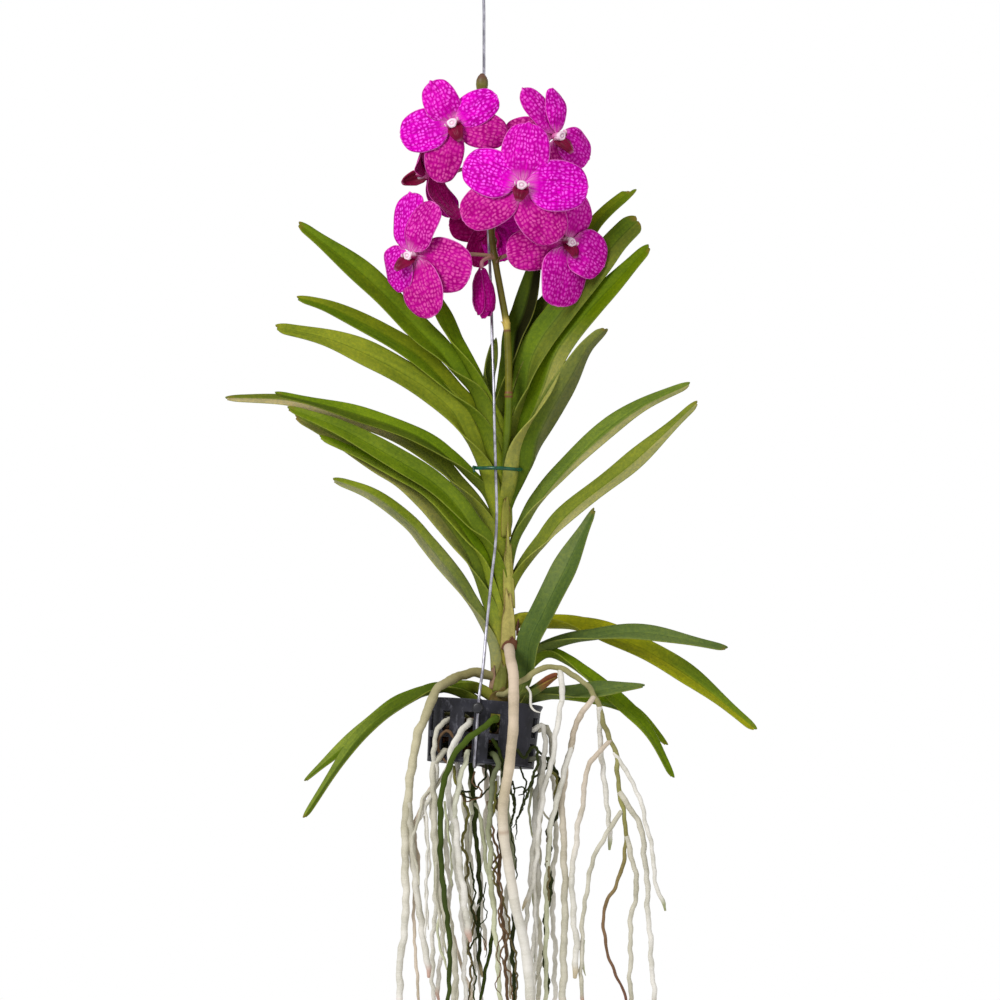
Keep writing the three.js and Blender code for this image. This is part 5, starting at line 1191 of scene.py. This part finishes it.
def petal_into(piece, tepal, facing, origin, forward, point, dull, seed):
    rng = np.random.default_rng(seed)
    *reach, width = tepal
    length = np.linalg.norm(reach)
    along = np.array(reach) / length
    normal = unit(facing - along * np.dot(facing, along))
    across = np.cross(normal, along)
    t = np.concatenate([np.linspace(0.03, 0.9, 22), [0.93, 0.955, 0.975, 0.99, 1.0]])[:, None]
    p = np.linspace(-1, 1, 17)
    opening = curve(PETAL_OUTLINE, t)
    lift = PETAL_LIFT * np.sin(np.pi * t) - PETAL_DROOP * t * t
    curl = (PETAL_WAVE * p * np.sin(7 * t) - PETAL_CURL * p * p) * opening
    wave = 0.75 * p ** 2 * np.sin(9 * t + 2.4 * p + rng.uniform(0, 6)) * smoothstep(t, 0.2, 0.7)
    crease = -0.7 * np.exp(-(p / 0.12) ** 2) * smoothstep(t, 0.05, 0.25) * (1 - smoothstep(t, 0.6, 0.95))
    tip = point * np.exp(-(p / 0.3) ** 2) * smoothstep(t, 0.85, 1.0)
    lean = rng.uniform(-0.6, 0.6) * smoothstep(t, 0.3, 1.0)
    half = width / 2 * opening
    grid = (origin + along * (length * t + tip)[..., None] + across * (p * half + lean)[..., None]
            + normal * (lift + curl + wave + crease + forward)[..., None])
    row = p * width / DOT_SPACING / 2 * (0.35 + 0.65 * opening)
    blade_into(piece, grid, PETAL_THICKNESS * (1 - 0.45 * np.abs(p) ** 3), (dull, 0.0, 0.0),
               stack(row, length * t, seed * 1.7), p, t, True)


def lip_into(piece, goal, facing, origin, across, up):
    """A broad ridged middle lobe that runs out to a pale tip, and a small lobe at each side."""
    side = unit(np.cross(goal, facing))
    lift = np.cross(side, unit(goal))
    t = np.linspace(0, 1, 19)[:, None]
    p = np.linspace(-1, 1, 13)
    half = np.interp(t, (0, 0.15, 0.4, 0.65, 0.85, 1), (2.4, 5.0, 6.0, 4.4, 3.0, 1.4))
    ridge = 1.1 * np.exp(-((np.abs(p) - 0.28) / 0.15) ** 2) * (1 - smoothstep(t, 0.6, 1))
    bend = ridge - 2.4 * p ** 2 * (1 - 0.5 * t)
    grid = (origin + facing * (2.2 + 6.5 * np.sin(1.9 * t))[..., None] + goal * t[..., None]
            + side * (p * half)[..., None] + lift * bend[..., None])
    tint = change(t, 0.84, 0.96, (126, 0, 54), (168, 84, 124))
    tint = lerp(tint, rgb((150, 18, 76)), 0.8 * smoothstep(np.abs(p), 0.7, 1.0)[:, None])
    blade_into(piece, grid, 0.9, tint)
    u = np.linspace(0, 1, 9)[:, None]
    v = np.linspace(-1, 1, 7)
    wide = 2.8 * np.sqrt(np.clip(1 - (u * 0.98) ** 3, 0.02, 1))
    for sign in (-1, 1):
        ear = (origin + facing * (4.2 + 2.4 * u + v * wide)[..., None]
               + across * (sign * (3.4 + 1.6 * np.sin(1.8 * u) + 0.25 * v * v))[..., None]
               + up * (-3.0 + 4.6 * u)[..., None])
        blade_into(piece, ear, 0.7, change(u, 0.2, 0.7, (150, 20, 90), (244, 206, 228)))


def make_bloom(name, bloom, seed):
    facing, origin = unit(bloom["face"]), np.array(bloom["centre"], float)
    tepals = Builder()
    rows = zip(bloom["tepals"], bloom["forward"], PETAL_POINT, bloom["dull"])
    for i, (tepal, forward, point, dull) in enumerate(rows):
        petal_into(tepals, tepal, facing, origin, forward, point, dull, seed * 10 + i)
    tepals.place(f"{name}_tepals", PETAL, "petal", name)
    # The short column: a waist, then a two-lobed cap whose front is a rim round a hollow with a small beak.
    up = np.array(bloom["tepals"][0][:3], float)
    up = unit(up - facing * np.dot(up, facing))
    across = np.cross(up, facing)
    column = Builder()
    lathe_into(column, np.array([across, unit(facing - 0.08 * up), up]), origin, COLUMN_PROFILE, 28, 0.07,
               tint=rgb(COLUMN_HUES))
    column.place(f"{name}_column", COLUMN, "lip")
    lip = Builder()
    lip_into(lip, np.array(bloom["lip"], float), facing, origin, across, up)
    lip.place(f"{name}_lip_lobes", LIP, "lip", f"{name}_lip")


def make_closed_bloom():
    """A flower that has folded again: five petals wrapped round each other, their edges rolled outward."""
    line = Line(CLOSED_LINE)
    sizes = list(zip(np.linspace(0, 1, len(CLOSED_RADIUS)), CLOSED_RADIUS))
    p = np.linspace(-1, 1, 17)
    flower = Builder()
    for k, (turn, reach, low, high, size) in enumerate(CLOSED_SHEETS):
        t = np.linspace(low, high, 34)[:, None]
        inside = (t - low) / (high - low)
        width = np.interp(inside, (0, 0.15, 0.6, 0.85, 0.95, 1), (0.55, 0.9, 1, 0.88, 0.68, 0.36))
        angle = math.radians(turn) + p * math.radians(reach) * width
        radius = curve(sizes, t) * size
        radius = radius * (0.93 + 0.07 * p + 0.1 * np.abs(p) ** 6 + 0.04 * np.sin(9 * inside + 3 * p + k))
        blade_into(flower, line.at(t * line.length) + around(angle, radius, 0.0), 0.7, (0.6, 0.0, 0.0),
                   stack(p * 4, inside * 40, 60 + k), p, 0.3 + 0.65 * inside)
    flower.place("bloom_closed_tepals", PETAL, "petal_dark", "bloom_closed")


# The spike with its stalks and its bud


def bract_into(piece, height, direction, size, hue):
    """A small pointed scale that clasps the spike below a flower's stalk."""
    out = unit((*direction[:2], 0.0))
    side = np.cross((0, 0, 1), out)
    u = np.linspace(0, 1, 9)[:, None]
    turn = np.linspace(-1, 1, 7) * (1.9 * (1 - u) ** 0.7 + 0.05)
    radius = 2.5 + 1.6 * u ** 2
    grid = (at_height(SPIKE_LINE, height - 2.5) + out * (radius * np.cos(turn))[..., None]
            + side * (radius * np.sin(turn))[..., None] + stack(0.0, 0.0, size * u))
    blade_into(piece, grid, 0.45, rgb(hue))


def stalk_into(piece, points, rows, sides, radius, tint, lobes=None):
    """A flower's stalk: radius and tint are worked out from the share of its length."""
    line = Line(points)
    share = np.linspace(0, 1, rows)
    tube_into(piece, line.at(share * line.length), radius(share), sides, lobes=lobes, tint=tint(share))


def make_spike():
    line = Line(SPIKE_LINE)
    s = np.linspace(0, line.length, 200)
    centres = line.at(s)
    z = centres[:, 2]
    radius = lerp(*SPIKE_RADIUS, s / line.length)
    for node in [*SPIKE_NODES, *(bloom["joins"] for bloom in BLOOMS.values())]:
        radius = radius + 0.45 * np.exp(-((z - node) / 1.3) ** 2)
    tint = rgb(SPIKE_FOOT_HUE)
    for hue, low, high in SPIKE_HUES:
        tint = lerp(tint, rgb(hue), smoothstep(z, low, high)[:, None])
    for height, half, hue in SPIKE_RINGS:
        tint = lerp(tint, rgb(hue), np.exp(-((z - height) / half) ** 4)[:, None])
    spike = Builder()
    tube_into(spike, centres, radius, 16, tint=tint, measure=stack(0.0, s, 0.0))
    stalk_into(spike, [BUD_BASE, BUD_TIP], 16, 24,
               lambda u: np.interp(u, BUD_SHARES, BUD_RADII),
               lambda u: change(u, 0.35, 0.95, (120, 118, 48), (112, 78, 62)),
               lambda turn: 1 - 0.08 * np.abs(np.sin(turn)) ** 6)
    for bloom in BLOOMS.values():
        face = unit(bloom["face"])
        end = bloom["centre"] - face * (BOSS_BACK + GAP)
        start = at_height(SPIKE_LINE, bloom["joins"])
        bend = end - face * 0.3 * np.linalg.norm(end - start)
        stalk_into(spike, [start, (start + bend) / 2 + (0, 0, 1.5), bend, end], 40, 18,
                   lambda u: PEDICEL_RADIUS * (0.82 + 0.3 * smoothstep(u, 0.3, 0.9)),
                   lambda u: change(u, 0.15, 0.85, (150, 120, 96), (214, 150, 176)),
                   lambda turn: 1 + 0.07 * np.cos(6 * turn))
        bract_into(spike, bloom["joins"], bend - start, 6.0, (116, 86, 58))
    top = np.array(CLOSED_LINE[0], float)
    start = at_height(SPIKE_LINE, CLOSED_JOINS)
    stalk_into(spike, [start, (start + top) / 2 + (0, 0, 4), top + (0, 0, 4), top], 30, 14,
               lambda u: 0.8 * PEDICEL_RADIUS + 0 * u,
               lambda u: lerp(rgb((150, 126, 84)), rgb((188, 120, 140)), u[:, None]))
    bract_into(spike, SPIKE_NODES[1] + 1, (-0.86, -0.08), 3.0, SPIKE_RINGS[0][2])
    spike.place("spike_stalks", SPIKE, "spike", "flower_spike")


# Roots


def root_into(piece, points, radius, hue, wiggle, seed, sides=10, step=2.4, fade=18.0, pitch=1.0):
    rng = np.random.default_rng(seed)
    line = Line(points)
    s = np.linspace(0, line.length, max(8, int(line.length / step)))
    share = s / line.length
    centres, tangent = line.at(s), line.tangent(s)
    side_a = unit(np.cross(tangent, (0.13, 0.97, 0.2)))
    for side in (side_a, np.cross(tangent, side_a)):
        shift = wiggle * ripple(rng, s, COURSE_WAVES, pitch) * smoothstep(s, 0, fade)
        centres = centres + side * shift[:, None]
    thick = radius[0] > THICK_ROOT
    knots = ripple(rng, s, KNOT_WAVES) * (0.5 if thick else 1)
    radii = lerp(*radius, share) * (1 + knots) * (1 - 0.45 * smoothstep(s, line.length - 7, line.length))
    marks = np.linspace(0.1, 0.6 if len(hue) == 2 else 0.95, len(hue))
    tint = stack(*(np.interp(share, marks, channel) for channel in np.array([rgb(c) for c in hue]).T))
    if thick:
        scar = np.exp(-((centres[:, 2] - SCAR["height"]) / SCAR["half"]) ** 2)[:, None]
        tint = lerp(tint, rgb(SCAR["hue"]), 0.7 * scar)
    if radius[1] > 1.2:
        tip = 0.8 * smoothstep(s, line.length - 12, line.length - 3)[:, None]
        tint = lerp(tint, rgb(ROOT_TIP_HUES[seed % 3]), tip)
    tube_into(piece, centres, radii, sides, tint=tint, measure=stack(0.0, s, seed * 3.7))


def crown_point(angle, height, radius):
    """A point about the foot of the stem, inside the basket."""
    return from_basket((*STEM_FOOT, 0.0) + around(np.radians(angle), radius, height))


def through_slot(root):
    """The line of a root from the crown through its window or its floor slot, and on."""
    radius = CROWN["radius"] - 5
    if "wall" in root:
        angle, height = root["wall"]
        start = crown_point(angle, lerp(CROWN["top"], CROWN["bottom"], 0.3), radius)
        way_out = [on_wall(angle, height - 1, -10), on_wall(angle, height - 2)]
    else:
        angle = root["floor"]
        start = crown_point(angle, CROWN["bottom"] + 7, radius)
        way_out = [basket_point(angle, BASKET_FOOT + 5, 17), basket_point(angle, BASKET_FOOT - 1, 18)]
    return [start, *way_out, *root["line"]]


def make_roots():
    seeds = count(1)
    for name, parts in STEM_ROOTS.items():
        skin = Builder()
        for part in parts:
            root_into(skin, part["line"], part["radius"], part["hue"], part["wiggle"], next(seeds),
                      14 if part["radius"][0] > 3 else 10)
        skin.place(f"{name}_skin", ROOT, "root_beige" if name == "root_front" else "root_grey", name)
    skin = Builder()
    root_into(skin, through_slot(GREEN_ROOT), GREEN_ROOT["radius"], GREEN_ROOT["hue"], GREEN_ROOT["wiggle"],
              next(seeds), 12, fade=BASKET_FADE)
    skin.place("root_green_skin", ROOT, "root_green", "root_green")
    skin = Builder()
    for root in BUNCH:
        root_into(skin, through_slot(root), root["radius"], root["hue"], 1.0, next(seeds), fade=BASKET_FADE)
    core = crown_point(0, np.linspace(CROWN["bottom"], CROWN["top"], 12), 0.0)
    tube_into(skin, core, np.linspace(CROWN["radius"], CROWN["radius"] - 3, 12), 24, tint=rgb((50, 40, 26)))
    skin.place("root_bunch_skin", ROOT, "root_white", "root_bunch")


def make_thin_roots():
    thin = Builder()
    for k, (start, end, hue, depth, crinkled, *line) in enumerate(THIN_ROOTS):
        rng = np.random.default_rng(THIN_LINE_SEED + k)
        points = [(x, depth + 3 * math.sin(0.05 * z + k) + rng.uniform(-1, 1), z) for x, z in line]
        last = OLIVE_ROOT_END if hue is OLIVE_ROOT else hue
        wiggle, pitch = (0.9, 0.5) if crinkled else (0.6, 1.0)
        root_into(thin, points, (start, end), (hue, last), wiggle, THIN_SEED + k, 8, 1.5, 12.0, pitch)
    thin.place("roots_thin", ROOT, "root_green")


def make_root_tangle():
    """Curled roots that fill the basket round the foot of the stem."""
    rng = np.random.default_rng(TANGLE["line_seed"])
    tangle = Builder()
    for k in range(TANGLE["roots"]):
        angle = rng.uniform(0, 360)
        points = []
        for _ in range(TANGLE["turns"]):
            height = rng.uniform(TANGLE["bottom"], TANGLE["top"])
            limit = wall_radius(height) - BASKET["wall"] - 4
            points.append(basket_point(angle, height, rng.uniform(10, limit)))
            angle += rng.uniform(25, 65)
        hue = TANGLE_HUES[k % len(TANGLE_HUES)]
        radius = (rng.uniform(1.2, 2.2), rng.uniform(1, 1.8))
        root_into(tangle, points, radius, (hue, hue), 0.8, TANGLE["seed"] + k, 8, 3.0, 5.0)
    tangle.place("root_tangle", ROOT, "root_grey")


make_wire()
make_clip()
make_tie()
make_basket()
make_foot_ring()
make_stem()
for number, (leaf_name, leaf_data) in enumerate(LEAVES.items(), 1):
    make_leaf(leaf_name, leaf_data, number, leaf_name)
make_leaf("leaf_left_between", EXTRA_LEAF, len(LEAVES) + 1)
for number, (bloom_name, bloom_data) in enumerate(BLOOMS.items(), 1):
    make_bloom(bloom_name, bloom_data, number)
make_closed_bloom()
make_spike()
make_roots()
make_thin_roots()
make_root_tangle()

# Studio: a white surround, a pale floor below the lowest root, a broad light, a fill and one from behind.

FLOOR_HEIGHT = -900.0
FLOOR_RADIUS = 950.0
FLOOR_SIDES = 96
SURROUND_LIGHT = 0.5


def make_floor():
    m = Nodes("floor")
    grain = m.noise(m.position(), 40.0)
    m.finish(m.over(rgb((236, 236, 236)), rgb((228, 228, 229)), grain, 0.3, 0.7, 0.3), 0.8)
    turn = np.linspace(0, 2 * np.pi, FLOOR_SIDES, endpoint=False)
    rim = stack(FLOOR_RADIUS * np.cos(turn), FLOOR_RADIUS * np.sin(turn), FLOOR_HEIGHT)
    floor = mesh_object("floor", rim, [tuple(range(FLOOR_SIDES))], m.material, smooth=False)


def make_light(name, position, target, size, power):
    data = bpy.data.lights.new(name, "AREA")
    data.shape = "SQUARE"
    data.size = size
    data.energy = power
    light = link_object(name, data)
    light.location = position
    light.rotation_euler = (Vector(target) - Vector(position)).to_track_quat("-Z", "Y").to_euler()


make_floor()
make_light("key", (-1.5, -2.0, 1.1), (0.0, 0.0, -0.4), 1.1, 56.0)
make_light("fill", (1.9, -1.8, -0.3), (0.0, 0.0, -0.45), 1.6, 9.0)
make_light("back", (0.8, 2.4, 0.3), (0.0, 0.0, -0.4), 1.8, 22.0)

world = bpy.data.worlds.new("studio")
world.use_nodes = True
surround = world.node_tree.nodes["Background"]
surround.inputs["Color"].default_value = (1.0, 1.0, 1.0, 1.0)
ray = world.node_tree.nodes.new("ShaderNodeLightPath")
strength = world.node_tree.nodes.new("ShaderNodeMapRange")
strength.inputs["To Min"].default_value = SURROUND_LIGHT
strength.inputs["To Max"].default_value = 1.0
world.node_tree.links.new(ray.outputs["Is Camera Ray"], strength.inputs["Value"])
world.node_tree.links.new(strength.outputs[0], surround.inputs["Strength"])
bpy.context.scene.world = world
bpy.context.scene.view_settings.view_transform = "Standard"

camera_data = bpy.data.cameras.new("camera")
camera_data.sensor_width = SENSOR
camera_data.lens = SENSOR * VIEW_DISTANCE / VIEW_WIDTH
camera_data.clip_end = 50.0
camera = link_object("camera", camera_data)
camera.location = (VIEW_CENTRE[0] * MM, -VIEW_DISTANCE * MM, VIEW_CENTRE[1] * MM)
camera.rotation_euler = (math.radians(90), 0.0, 0.0)
bpy.context.scene.camera = camera
